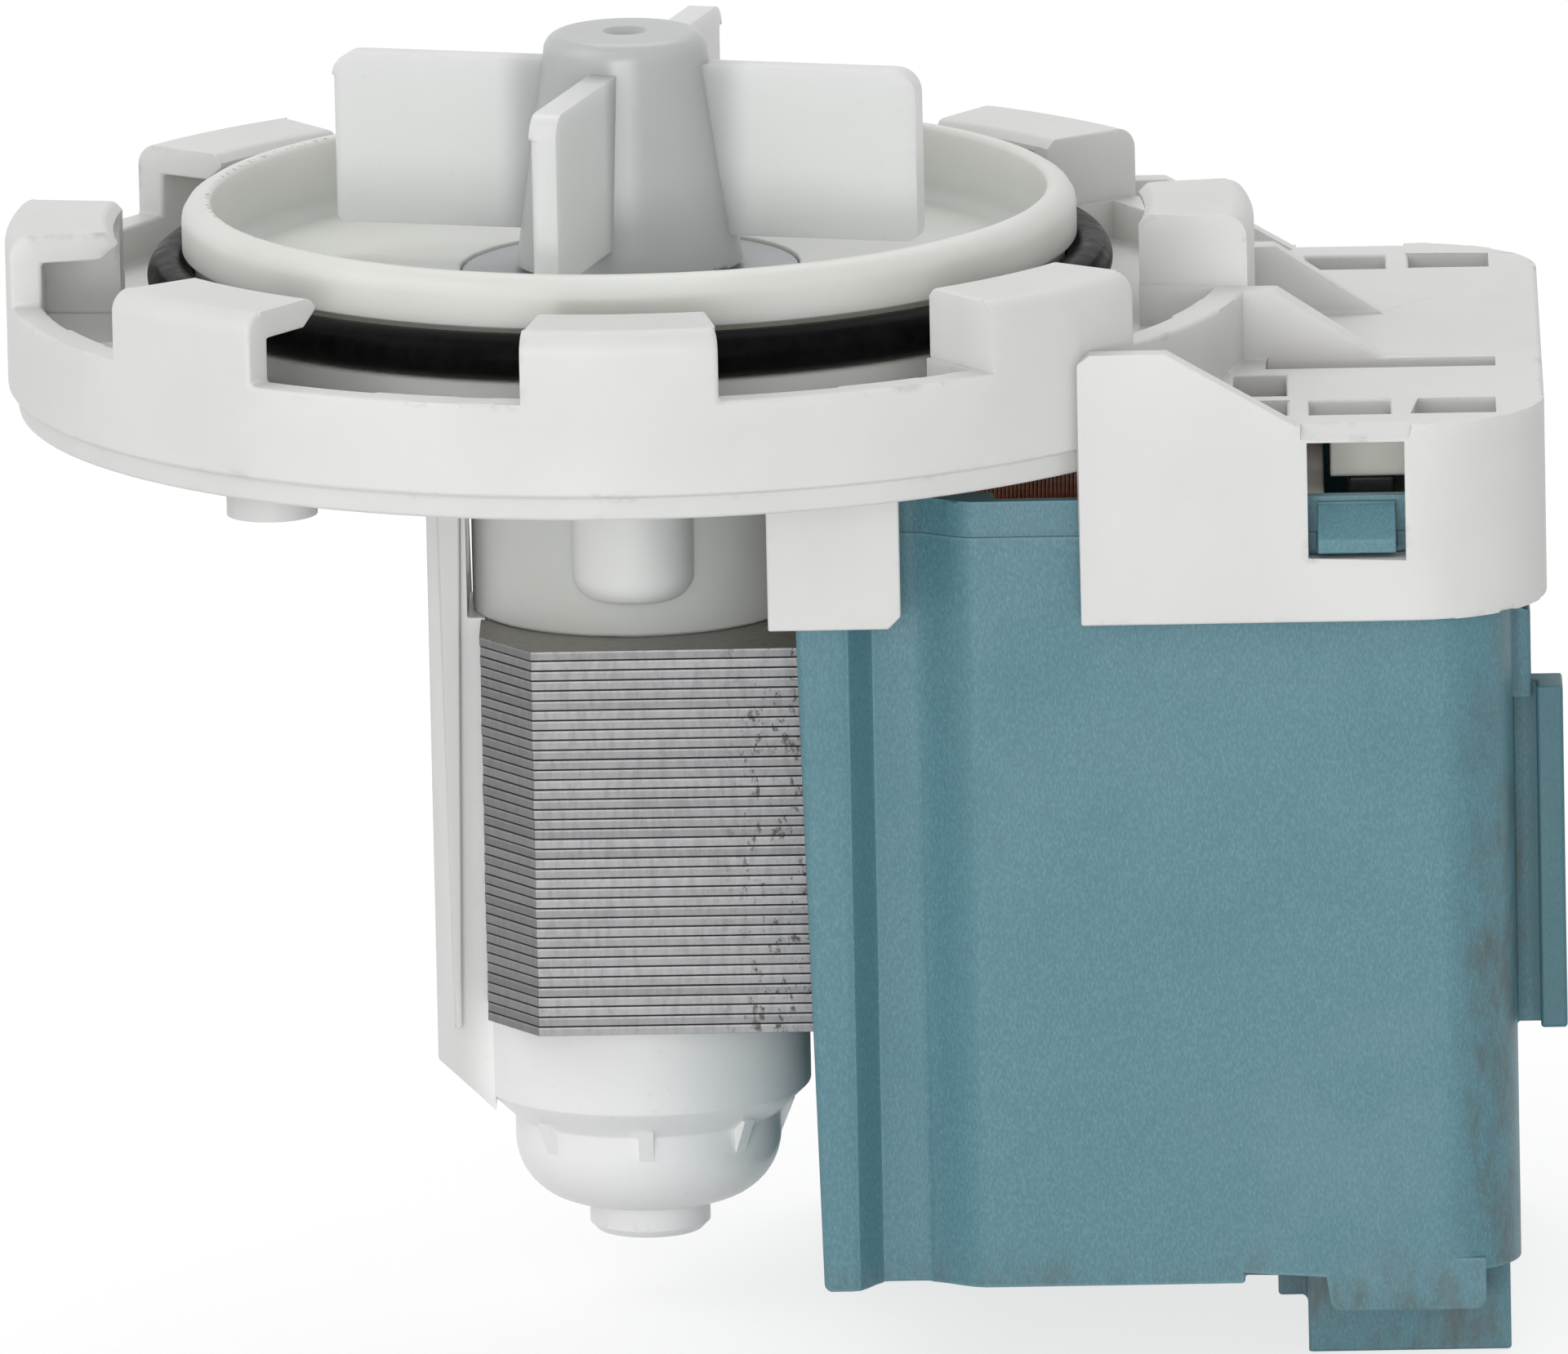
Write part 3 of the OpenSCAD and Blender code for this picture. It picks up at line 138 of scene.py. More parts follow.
def between(tree, value, low, high, to_low=0.0, to_high=1.0):
    """Smooth step: to_low below low, to_high above high, an S curve between."""
    return put(
        tree, "MapRange", settings={"interpolation_type": "SMOOTHSTEP"},
        Value=value, From_Min=low, From_Max=high, To_Min=to_low, To_Max=to_high,
    )


def blend_colour(tree, share, first, second):
    """Colour mix: first at share 0, second at share 1."""
    return put(tree, "Mix", 2, {"data_type": "RGBA"}, Factor=share, _6=first, _7=second)


def speckle(tree, scale, detail=4.0, roughness=0.55, stretch=(1.0, 1.0, 1.0), turn=(0.0, 0.0, 0.0)):
    """Noise on Object coordinates, stretched and turned by a Mapping node. Scale counts features per metre."""
    place = put(tree, "TexCoord", 3)
    place = put(tree, "Mapping", Vector=place, Scale=stretch, Rotation=turn)
    return put(tree, "TexNoise", Vector=place, Scale=scale, Detail=detail, Roughness=roughness)


def along(tree, axis):
    """One of the Object coordinates, in metres: 0 for X, 1 for Y, 2 for Z."""
    return put(tree, "SeparateXYZ", axis, Vector=put(tree, "TexCoord", 3))


def axis_distance(tree):
    """Distance from the pump's axis in metres: the length of (x, y)."""
    flat = put(tree, "CombineXYZ", X=along(tree, 0), Y=along(tree, 1))
    return put(tree, "VectorMath", 1, {"operation": "LENGTH"}, _0=flat)


def edges_of(tree, radius_mm):
    """1 on the piece's edges and 0 on its faces: how far a rounded normal leans from the true one."""
    rounded = put(tree, "Bevel", settings={"samples": 4}, Radius=radius_mm * MM)
    lean = put(tree, "VectorMath", 1, {"operation": "DOT_PRODUCT"}, _0=rounded, _1=put(tree, "NewGeometry", 1))
    return between(tree, lean, 0.90, 0.995, 1.0, 0.0)


def hollows_of(tree, reach_mm):
    """1 deep in corners and 0 in the open, from how much of the sky a point sees within a reach."""
    open_share = put(tree, "AmbientOcclusion", 1, {"samples": 6}, Distance=reach_mm * MM)
    return between(tree, open_share, 0.35, 0.85, 1.0, 0.0)


def shaded(colour, share=1.0):
    """A colour times a share, held under 1, with the fourth number that sockets want."""
    return (*(min(share * c, 1) for c in colour), 1)


def new_finish(name):
    """A material with a fresh Principled shader. Returns the material, its tree and the shader node."""
    material = bpy.data.materials.new(name)
    material.use_nodes = True
    tree = material.node_tree
    shader = tree.nodes["Principled BSDF"]
    return material, tree, shader


def dress(tree, shader, height, strength, depth_mm, **inputs):
    """Sets or links the shader's inputs, and turns a height into bump."""
    for key, value in inputs.items():
        socket = shader.inputs[key.replace("_", " ")]
        if isinstance(value, bpy.types.NodeSocket):
            tree.links.new(value, socket)
        else:
            socket.default_value = value
    bump = put(tree, "Bump", Height=height, Strength=strength, Distance=depth_mm * MM)
    tree.links.new(bump, shader.inputs["Normal"])


# %% [markdown]
# ## White moulding
# The ring and the coil cover are one filled moulding: satin, slightly warm, grey where hands and tools
# rubbed its edges. A flat white would look like paper, so the colour drifts a little, grime gathers in
# corners, and dark scuffs come only where noise and an edge meet.


# %% Finish of the white mouldings
SCUFF_DARK, RIM_DIRT = (0.16, 0.155, 0.14), (0.10, 0.098, 0.09)


def white_moulding(
    name, body, grime, rough, scuff_share, glow=0.20, line_r_mm=0.0, line_z_mm=0.0, shade_below_z_mm=-100.0
):
    """Body colour with slow drift, grime in hollows, scuffs on edges, dirt on a rim, and painted shade: greyer
    below a given height.
    """
    material, tree, shader = new_finish(name)
    drift = speckle(tree, 70.0, 3.0)
    colour = blend_colour(tree, between(tree, drift, 0.3, 0.7), shaded(body, 0.96), shaded(body, 1.03))
    smear = between(tree, speckle(tree, 260.0, 7.0, 0.7), 0.54, 0.72)
    scuff = times(tree, times(tree, smear, edges_of(tree, 0.9)), scuff_share)
    dust = times(tree, hollows_of(tree, 3.0), times(tree, drift, 0.35))
    colour = blend_colour(tree, dust, colour, shaded(grime))
    colour = blend_colour(tree, scuff, colour, shaded(SCUFF_DARK))
    x, z = along(tree, 0), along(tree, 2)
    off_line = calc(tree, "ABSOLUTE", calc(tree, "SUBTRACT", axis_distance(tree), line_r_mm * MM))
    line = between(tree, off_line, 0.04 * MM, 0.20 * MM, 1.0, 0.0)
    line = times(tree, line, between(tree, z, (line_z_mm - 0.1) * MM, line_z_mm * MM))
    dots = between(tree, speckle(tree, 1500.0, 4.0, 0.7), 0.50, 0.60)
    dots = times(tree, dots, between(tree, x, -24 * MM, 5 * MM, 0.55, 0.05))
    colour = blend_colour(tree, times(tree, line, dots), colour, shaded(RIM_DIRT))
    # Painted shade: below the given height the body is greyed, standing in for the ring's shadow on the chamber's
    # cup.
    painted_shade_low = between(tree, z, shade_below_z_mm * MM, (shade_below_z_mm + 1.0) * MM, 0.45, 0.0)
    colour = blend_colour(tree, painted_shade_low, colour, shaded(body, 0.70))
    dress(
        tree, shader, height=speckle(tree, 2600.0, 3.0), strength=0.10, depth_mm=0.03, Base_Color=colour,
        Roughness=between(tree, drift, 0.2, 0.8, rough - 0.05, rough + 0.07), Specular_IOR_Level=0.45,
        Subsurface_Weight=glow, Subsurface_Radius=(2.2 * MM, 2.0 * MM, 1.7 * MM), Subsurface_Scale=1.0,
    )
    return material


bracket_white = white_moulding("bracket_white", (0.76, 0.76, 0.742), (0.30, 0.28, 0.23), 0.46, 0.50)
# The chamber's cup below -8 mm gets the painted shade of the ring's shadow.
chamber_ivory = white_moulding(
    "chamber_ivory", (0.76, 0.772, 0.735), (0.26, 0.25, 0.20), 0.40, 0.30, 0.45, 27.15, 1.2, -8.0
)
# Painted light: the boss is the chamber's ivory made lighter, standing in for the light that falls on its front.
boss_ivory_painted_light = white_moulding("boss_ivory_painted_light", (0.83, 0.838, 0.815), (0.30, 0.29, 0.24), 0.36, 0.10, 0.30)
bobbin_cream = white_moulding("bobbin_cream", (0.70, 0.69, 0.63), (0.30, 0.27, 0.20), 0.50, 0.10)
print("white finishes:", bracket_white.name, chamber_ivory.name, boss_ivory_painted_light.name, bobbin_cream.name)

# %% [markdown]
# ## Milky plastics
# The rotor can and the impeller are unfilled plastic, so light goes in and comes out elsewhere. True
# glass would show every bubble; subsurface scattering gives the same soft glow at less cost.


# %% Finish of the can and the impeller
def milky_plastic(name, skin, core, core_r_mm, glow, deep_mm):
    """Skin colour, a core colour within core_r_mm of the axis that is painted to stand in for light and shade
    there, and scattering that reaches deep_mm down.
    """
    material, tree, shader = new_finish(name)
    cloud = speckle(tree, 120.0, 4.0)
    # Painted light and shade: near the axis the can is painted lighter than its skin, and the impeller's hub
    # darker.
    painted_core_share = between(tree, axis_distance(tree), core_r_mm * MM, (core_r_mm + 2.5) * MM, 1.0, 0.0)
    colour = blend_colour(tree, painted_core_share, shaded(skin), shaded(core))
    colour = blend_colour(tree, between(tree, cloud, 0.35, 0.75, 0.0, 0.06), colour, shaded(skin, 0.80))
    nick = between(tree, speckle(tree, 1300.0, 3.0, 0.5), 0.62, 0.80, 0.0, 0.10)
    colour = blend_colour(tree, nick, colour, (0.42, 0.42, 0.40, 1))
    dress(
        tree, shader, height=speckle(tree, 900.0, 2.0), strength=0.05, depth_mm=0.04, Base_Color=colour,
        Roughness=between(tree, cloud, 0.3, 0.7, 0.28, 0.34), Specular_IOR_Level=0.5,
        Subsurface_Weight=glow, Subsurface_Radius=(deep_mm * MM,) * 3, Subsurface_Scale=1.0,
    )
    return material


can_milky = milky_plastic("can_milky", (0.71, 0.714, 0.70), (0.93, 0.932, 0.925), 10.3, 0.10, 3.0)
impeller_milky = milky_plastic("impeller_milky", (0.74, 0.751, 0.745), (0.49, 0.508, 0.504), 6.2, 0.60, 4.0)
print("milky finishes:", can_milky.name, impeller_milky.name)

# %% [markdown]
# ## Teal housing
# The coil housing is glass-filled and shows it: pale flecks lie all one way where the melt flowed. Noise
# stretched along a slanted direction gives the flecks, and a brown film stays at the far corner and the foot.


# %% Finish of the teal housing
def past(tree, value, low_mm, high_mm, to_low=0.0, to_high=1.0):
    """Smooth step along a coordinate, with its two places in millimetres."""
    return between(tree, value, low_mm * MM, high_mm * MM, to_low, to_high)


TEAL_DARK, TEAL_LIGHT, TEAL_DEEP = (0.080, 0.206, 0.251), (0.124, 0.278, 0.328), (0.070, 0.180, 0.216)
PATCH_PALE, FILM_BROWN = (0.30, 0.42, 0.46), (0.085, 0.092, 0.080)
HIGHLIGHT_PALE, RAIL_PAINTED_SHADE = (0.24, 0.40, 0.44), (0.030, 0.105, 0.130)
teal_filled, tree, shader = new_finish("teal_filled")
x, z = along(tree, 0), along(tree, 2)
fleck = speckle(tree, 7500.0, 3.0, 0.70, stretch=(1.0, 1.0, 0.40), turn=(0.0, 0.7, 0.0))
flow = speckle(tree, 110.0, 3.0)
colour = blend_colour(tree, between(tree, fleck, 0.38, 0.70), shaded(TEAL_DARK), shaded(TEAL_LIGHT))
colour = blend_colour(tree, between(tree, flow, 0.35, 0.75, 0.0, 0.10), colour, shaded(TEAL_DEEP))
# A paler mottled patch on the front, between x 30 and 40 mm and z -40 and -52 mm.
pale_patch = times(tree, past(tree, x, 30, 40), past(tree, z, -40, -52))
pale_patch = times(tree, pale_patch, between(tree, flow, 0.4, 0.7, 0.0, 0.14))
colour = blend_colour(tree, pale_patch, colour, shaded(PATCH_PALE))
corner = times(tree, past(tree, x, 51.5, 54.0), past(tree, z, -22, -45, 0.35, 1.0))
band = times(tree, past(tree, x, 52.2, 53.1), past(tree, x, 53.6, 54.6, 0.45, 0.0))
dirty = calc(tree, "MAXIMUM", calc(tree, "MAXIMUM", corner, band), past(tree, z, -61, -67))
film = between(tree, speckle(tree, 420.0, 8.0, 0.72, stretch=(1.0, 1.0, 0.40)), 0.40, 0.68)
film = times(tree, times(tree, film, dirty), past(tree, x, 56.0, 57.2, 1.0, 0.20))
colour = blend_colour(tree, times(tree, film, 0.75), colour, shaded(FILM_BROWN))
# Painted highlight: the edges are painted paler, standing in for the thin bright lines that light draws along them.
edge_highlight = times(tree, edges_of(tree, 0.4), between(tree, flow, 0.3, 0.7, 0.2, 0.5))
colour = blend_colour(tree, edge_highlight, colour, shaded(HIGHLIGHT_PALE))
# Painted shade: the rail on the right side, beyond x 56.8 mm, is darkened where it turns away from the light.
colour = blend_colour(tree, past(tree, x, 56.8, 57.5, 0.0, 0.62), colour, shaded(RAIL_PAINTED_SHADE))
dress(
    tree, shader, height=fleck, strength=0.22, depth_mm=0.03, Base_Color=colour,
    Roughness=between(tree, flow, 0.3, 0.7, 0.40, 0.52), Specular_IOR_Level=0.5,
)
print("finish:", teal_filled.name)

# %% [markdown]
# ## Sheet steel of the core
# Each sheet was punched, so its edge is half sheared and half torn, and no two are the same grey. The
# height along the axis gives the sheet's number, and a white noise of that number gives its shade.

# %% Finish of the laminations
SHEETS = 39
core_low, core_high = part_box("front_pole_stack")
sheet_step = (core_high.z - core_low.z) / SHEETS
SHEET_DARK, SHEET_LIGHT, BURR_LIGHT = (0.27, 0.268, 0.277), (0.37, 0.367, 0.378), (0.52, 0.51, 0.495)
TORN_DARK, STAIN_DARK, LEFT_FACE_SHADE_DARK = (0.11, 0.107, 0.107), (0.05, 0.047, 0.045), (0.10, 0.098, 0.10)
FACE_BROWN, JOINT_BLACK = (0.26, 0.235, 0.19), (0.012, 0.012, 0.012)
sheet_steel, tree, shader = new_finish("sheet_steel")
count = calc(tree, "DIVIDE", calc(tree, "SUBTRACT", along(tree, 2), core_low.z), sheet_step)
shade = put(tree, "TexWhiteNoise", 0, {"noise_dimensions": "1D"}, W=calc(tree, "FLOOR", count))
level = calc(tree, "FRACT", count)
tear = speckle(tree, 2600.0, 4.0, 0.6, stretch=(1.0, 1.0, 0.3))
stain = between(tree, speckle(tree, 1700.0, 5.0, 0.75, stretch=(1.0, 1.0, 0.6)), 0.55, 0.64)
stain = times(tree, stain, between(tree, along(tree, 0), 5 * MM, 8 * MM, 0.10, 0.85))
facing = put(tree, "NewGeometry", 3)
# Painted shade: faces that turn to the left (-x) are darkened, standing in for the light they miss.
left_face_shade = between(tree, put(tree, "SeparateXYZ", 0, Vector=facing), -0.5, -0.2, 0.45, 0.0)
flat_face = calc(tree, "ABSOLUTE", put(tree, "SeparateXYZ", 2, Vector=facing))
joint = between(tree, calc(tree, "ABSOLUTE", calc(tree, "SUBTRACT", level, 0.5)), 0.395, 0.42, 0.0, 0.97)
joint = times(tree, joint, between(tree, flat_face, 0.90, 0.98, 1.0, 0.0))
colour = blend_colour(tree, shade, shaded(SHEET_DARK), shaded(SHEET_LIGHT))
colour = blend_colour(tree, between(tree, level, 0.66, 0.82, 0.0, 0.60), colour, shaded(BURR_LIGHT))
colour = blend_colour(tree, between(tree, tear, 0.4, 0.7, 0.0, 0.18), colour, shaded(TORN_DARK))
colour = blend_colour(tree, stain, colour, shaded(STAIN_DARK))
colour = blend_colour(tree, left_face_shade, colour, shaded(LEFT_FACE_SHADE_DARK))
colour = blend_colour(tree, between(tree, flat_face, 0.7, 0.95, 0.0, 0.55), colour, shaded(FACE_BROWN))
colour = blend_colour(tree, joint, colour, shaded(JOINT_BLACK))
dress(
    tree, shader, height=tear, strength=0.15, depth_mm=0.03, Base_Color=colour, Metallic=0.55,
    Roughness=between(tree, tear, 0.3, 0.7, 0.50, 0.56),
)
print("finish:", sheet_steel.name, "for", SHEETS, "sheets of %.3f mm" % (sheet_step / MM))

# %% [markdown]
# ## Wire, rubber and the small metals
# The wire is copper under a red-brown lacquer. The rubber is black with a faint bloom. The hidden bushes,
# shaft and magnet get their own finishes too, because the part is also looked at in pieces.


# %% Finishes of the wire, the rubber and the metals
def simple_finish(name, dark, light, metallic, rough, scale, grain=0.15, **extra):
    """Two shades mixed by noise, with roughness and bump from the same noise."""
    material, tree, shader = new_finish(name)
    noise = speckle(tree, scale, 5.0, 0.6)
    colour = blend_colour(tree, between(tree, noise, 0.3, 0.7), shaded(dark), shaded(light))
    dress(
        tree, shader, height=noise, strength=grain, depth_mm=0.03, Base_Color=colour, Metallic=metallic,
        Roughness=between(tree, noise, 0.2, 0.8, rough - 0.08, rough + 0.08), **extra,
    )
    return material


copper_lacquer = simple_finish(
    "copper_lacquer", (0.55, 0.16, 0.075), (0.88, 0.32, 0.17), 0.85, 0.34, 500.0, 0.05,
    Coat_Weight=0.35, Coat_Roughness=0.2,
)
black_rubber = simple_finish(
    "black_rubber", (0.002, 0.002, 0.002), (0.005, 0.005, 0.005), 0.0, 0.36, 900.0, 0.08, Specular_IOR_Level=0.04
)
black_moulding = simple_finish("black_moulding", (0.008, 0.008, 0.008), (0.018, 0.018, 0.019), 0.0, 0.45, 1500.0)
grey_carrier = white_moulding("grey_carrier", (0.43, 0.46, 0.48), (0.06, 0.06, 0.06), 0.36, 0.10)
ground_steel = simple_finish("ground_steel", (0.48, 0.49, 0.50), (0.62, 0.63, 0.64), 1.0, 0.26, 2000.0, 0.05)
porous_bronze = simple_finish("porous_bronze", (0.30, 0.20, 0.10), (0.50, 0.36, 0.19), 0.9, 0.46, 3000.0, 0.4)
tinned_brass = simple_finish("tinned_brass", (0.58, 0.52, 0.38), (0.72, 0.67, 0.54), 1.0, 0.28, 800.0, 0.06)
magnet_grey = simple_finish("magnet_grey", (0.030, 0.030, 0.032), (0.060, 0.060, 0.062), 0.1, 0.55, 1800.0, 0.25)
lead_red = simple_finish("lead_red", (0.36, 0.030, 0.025), (0.46, 0.055, 0.045), 0.0, 0.42, 700.0, 0.06)
print("metal and rubber finishes made")

# %% [markdown]
# ## Softened mouldings
# A mould never leaves a knife edge. The CAD solids have sharp ones, so a copy of each visible moulding is
# merged into one skin, its flat facets are joined, and a Bevel modifier rounds what is left of its edges.
# One width for all would burst the narrow ledges, so each edge gets the share that its faces leave room for.


# %% Helper: room around edges and corners
ROOM_SHARE, LEAST_SHARE = 0.38, 0.3
SHARP_DEG, SMOOTH_DEG = 40.0, 36.0
FOLDED = -0.7
TINY = 1e-12


def read(items, name, kind, width=1):
    """One attribute of all mesh items as an array."""
    values = np.empty(len(items) * width, kind)
    items.foreach_get(name, values)
    return values.reshape(-1, width) if width > 1 else values


def edge_cosine(mesh):
    """Cosine of the turn between the two faces of each edge, and 1 on an edge that hasn't two."""
    normal, sides = read(mesh.polygons, "normal", float, 3), read(mesh.polygons, "loop_total", int)
    loop_edge = read(mesh.loops, "edge_index", int)
    order = np.argsort(loop_edge, kind="stable")
    face = np.repeat(np.arange(len(sides)), sides)[order]
    first = np.searchsorted(loop_edge[order], np.arange(len(mesh.edges)))
    second = np.minimum(first + 1, len(face) - 1)
    paired = np.bincount(loop_edge, minlength=len(mesh.edges)) == 2
    return np.where(paired, (normal[face[first]] * normal[face[second]]).sum(1), 1.0)


def room_inside(mesh, sharp):
    """Per edge: distance from its middle and its ends to the nearest side that faces it across a face."""
    place, normal = read(mesh.vertices, "co", float, 3), read(mesh.polygons, "normal", float, 3)
    loop_edge, loop_corner = read(mesh.loops, "edge_index", int), read(mesh.loops, "vertex_index", int)
    sides = read(mesh.polygons, "loop_total", int)
    first = np.cumsum(sides) - sides
    edge_room, corner_room = np.full(len(mesh.edges), np.inf), np.full(len(place), np.inf)
    for n in np.unique(sides):
        faces = np.flatnonzero(sides == n)
        loops = first[faces][:, None] + np.arange(n)
        start = place[loop_corner[loops]]
        side = np.roll(start, -1, 1) - start
        length = np.linalg.norm(side, axis=2)
        run = side / np.maximum(length, TINY)[..., None]
        inward = np.cross(normal[faces][:, None], run)
        pushed = inward * (sharp[loop_edge[loops]][..., None] + 1e-3)
        for points, toward, room, index in (
            (start + side / 2, inward, edge_room, loop_edge[loops]),
            (start, pushed + np.roll(pushed, 1, 1), corner_room, loop_corner[loops]),
        ):
            reach = ((points[:, :, None] - start[:, None]) * run[:, None]).sum(-1)
            nearest = start[:, None] + np.clip(reach, 0, length[:, None])[..., None] * run[:, None]
            gap = nearest - points[:, :, None]
            far = np.linalg.norm(gap, axis=-1)
            toward = toward / np.maximum(np.linalg.norm(toward, axis=2), TINY)[..., None]
            facing = (gap * toward[:, :, None]).sum(-1) > np.maximum(0.35 * far, 1e-9)
            np.minimum.at(room, index, np.where(facing, far, np.inf).min(-1))
    return np.minimum(edge_room, corner_room[read(mesh.edges, "vertices", int, 2)].min(1))


def edge_shares(mesh, radius):
    """Bevel's share per edge: ROOM_SHARE x room / radius, up to 1 and its neighbours' least, 0 if too small."""
    sharp = edge_cosine(mesh) < math.cos(math.radians(SHARP_DEG))
    share = np.clip(ROOM_SHARE * room_inside(mesh, sharp) / radius, 0, 1) * sharp
    share[share < LEAST_SHARE] = 0
    ends, least = read(mesh.edges, "vertices", int, 2), np.ones(len(mesh.vertices))
    np.minimum.at(least, ends[share > 0], share[share > 0][:, None])
    return np.minimum(share, least[ends].min(1))


# %% Helper: a moulding with round edges
def cleaned(mesh):
    """Merges a CAD copy, drops slivers, joins the facets of flat faces and cuts wide faces into triangles."""
    work = bmesh.new()
    work.from_mesh(mesh)
    bmesh.ops.remove_doubles(work, verts=work.verts, dist=0.012 * MM)
    bmesh.ops.dissolve_degenerate(work, edges=work.edges, dist=0.002 * MM)
    bmesh.ops.dissolve_limit(
        work, angle_limit=math.radians(0.6), verts=work.verts, edges=work.edges, use_dissolve_boundaries=False
    )
    wide = [face for face in work.faces if len(face.verts) > 4]
    bmesh.ops.triangulate(work, faces=wide, quad_method="BEAUTY", ngon_method="BEAUTY")
    work.to_mesh(mesh)
    work.free()


def bevelled(piece, radius, shares):
    """The piece's mesh after a three-step bevel with a share on each edge."""
    piece.data.attributes["bevel_weight_edge"].data.foreach_set("value", shares)
    piece.data.update()
    piece.modifiers.clear()
    edge = piece.modifiers.new("mould_edges", "BEVEL")
    edge.width, edge.segments, edge.limit_method, edge.use_clamp_overlap = radius, 3, "WEIGHT", False
    graph = bpy.context.evaluated_depsgraph_get()
    return bpy.data.meshes.new_from_object(piece.evaluated_get(graph))


def softened(node, body, finish, radius_mm):
    """Copy of a CAD node with round edges. Where the bevel folds back it is left off and made again."""
    radius = radius_mm * MM
    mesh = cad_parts[node].data.copy()
    cleaned(mesh)
    mesh.attributes.new("bevel_weight_edge", "FLOAT", "EDGE")
    piece = bpy.data.objects.new(node + "_piece", mesh)
    bpy.context.scene.collection.objects.link(piece)
    shares = edge_shares(mesh, radius)
    ends = read(mesh.vertices, "co", float, 3)[read(mesh.edges, "vertices", int, 2)]
    drawn = ends[edge_cosine(mesh) < FOLDED].reshape(-1, 3)
    for _ in range(6):
        done = bevelled(piece, radius, shares)
        folded = read(done.edges, "vertices", int, 2)[edge_cosine(done) < FOLDED]
        spots = read(done.vertices, "co", float, 3)[np.unique(folded)]
        spots = spots[(np.linalg.norm(spots[:, None] - drawn, axis=2) > 0.05 * MM).all(1)]
        if not len(spots):
            break
        gap = np.linalg.norm(ends[:, :, None] - spots, axis=3).min((1, 2))
        shares[gap < 1.5 * radius] = 0
    piece.modifiers.clear()
    piece.data = done
    done.name = piece.name
    done.polygons.foreach_set("use_smooth", np.ones(len(done.polygons), bool))
    still_sharp = edge_cosine(done) < math.cos(math.radians(SMOOTH_DEG))
    done.attributes.new("sharp_edge", "BOOLEAN", "EDGE").data.foreach_set("value", still_sharp)
    piece.modifiers.new("flat_faces", "WEIGHTED_NORMAL").keep_sharp = True
    done.materials.clear()
    done.materials.append(finish)
    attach(piece, body)
    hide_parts(node)
    rounded = int((shares > 0).sum())
    print(piece.name, len(done.polygons), "faces,", rounded, "edges rounded,", len(spots), "folds left")
    return piece


# %% Mouldings that show
softened("mounting_bracket", "stator", bracket_white, 0.35)
softened("seal_carrier", "stator", grey_carrier, 0.20)
softened("rotor_can", "stator", can_milky, 0.30)
softened("coil_housing", "stator", teal_filled, 0.40)
softened("terminal_carrier", "stator", bobbin_cream, 0.20)
softened("thermal_protector", "stator", black_moulding, 0.25)
softened("front_bobbin", "stator", bobbin_cream, 0.15)
softened("back_bobbin", "stator", bobbin_cream, 0.15)
softened("terminal_tabs", "stator", tinned_brass, 0.12)
softened("impeller", "impeller", impeller_milky, 0.65)

# %% [markdown]
# ## Surfaces from arrays
# The rest of the new pieces are grids: rows of points along a path, columns around a section. One helper
# joins neighbours into quads, closes the grid where it runs round, and puts it all into a mesh at once.


# %% Helper: a mesh from a grid of points
def grid_piece(name, body, finish, points, round_rows, round_columns, caps=False, stands_for=()):
    """Quads (i, j), (i+1, j), (i+1, j+1), (i, j+1) of a grid in millimetres; rows or columns may close."""
    rows, columns = points.shape[:2]
    index = np.arange(rows * columns).reshape(rows, columns)
    down = np.roll(index, -1, 0) if round_rows else index[1:]
    here = index if round_rows else index[:-1]
    if round_columns:
        quads = np.stack([here, down, np.roll(down, -1, 1), np.roll(here, -1, 1)], -1)
    else:
        quads = np.stack([here[:, :-1], down[:, :-1], down[:, 1:], here[:, 1:]], -1)
    faces = quads.reshape(-1, 4).tolist()
    if caps:
        faces += [index[0].tolist(), index[-1][::-1].tolist()]
    mesh = bpy.data.meshes.new(name)
    mesh.from_pydata((points.reshape(-1, 3) * MM).tolist(), [], faces)
    mesh.polygons.foreach_set("use_smooth", np.ones(len(mesh.polygons), bool))
    work = bmesh.new()
    work.from_mesh(mesh)
    bmesh.ops.recalc_face_normals(work, faces=work.faces)
    work.to_mesh(mesh)
    work.free()
    mesh.materials.append(finish)
    piece = bpy.data.objects.new(name, mesh)
    bpy.context.scene.collection.objects.link(piece)
    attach(piece, body)
    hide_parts(*stands_for)
    print(name, len(mesh.polygons), "faces")
    return piece


# %% [markdown]
# ## Pump chamber
# The chamber is turned about the axis: a bullnosed spigot, the groove for the sealing ring, the floor and
# the cup that stands on the core. A profile with a radius at each corner, carried round the axis, gives its
# soft rim better than a bevel on facets. The half-round boss in front is a second turned shape.


# %% Helper: a profile with round corners
def rounded_profile(corners, steps=5):
    """Each row is (r, z, radius): the corner becomes an arc that touches both of its sides."""
    corners = np.asarray(corners, float)
    place, radius = corners[:, :2], corners[:, 2:]
    back, ahead = np.roll(place, 1, 0) - place, np.roll(place, -1, 0) - place
    back /= np.linalg.norm(back, axis=1, keepdims=True)
    ahead /= np.linalg.norm(ahead, axis=1, keepdims=True)
    half = np.arccos(np.clip((back * ahead).sum(1, keepdims=True), -1, 1)) / 2
    middle = back + ahead
    centre = place + middle / np.linalg.norm(middle, axis=1, keepdims=True) * radius / np.sin(half)
    reach = radius / np.tan(half)
    start, end = place + back * reach - centre, place + ahead * reach - centre
    share = np.linspace(0, 1, steps)[None, :, None]
    spoke = start[:, None] * (1 - share) + end[:, None] * share
    spoke *= radius[:, None] / np.maximum(np.linalg.norm(spoke, axis=2, keepdims=True), 1e-9)
    return (centre[:, None] + spoke).reshape(-1, 2)


def turned(profile, steps, axis=(0.0, 0.0)):
    """Profile (r, z) carried round a vertical axis: x = r cos a, y = r sin a."""
    angle = np.linspace(0, 2 * np.pi, steps, endpoint=False)[:, None]
    r, z = profile[:, 0][None], profile[:, 1][None]
    return np.stack([axis[0] + r * np.cos(angle), axis[1] + r * np.sin(angle), z + 0 * angle], -1)


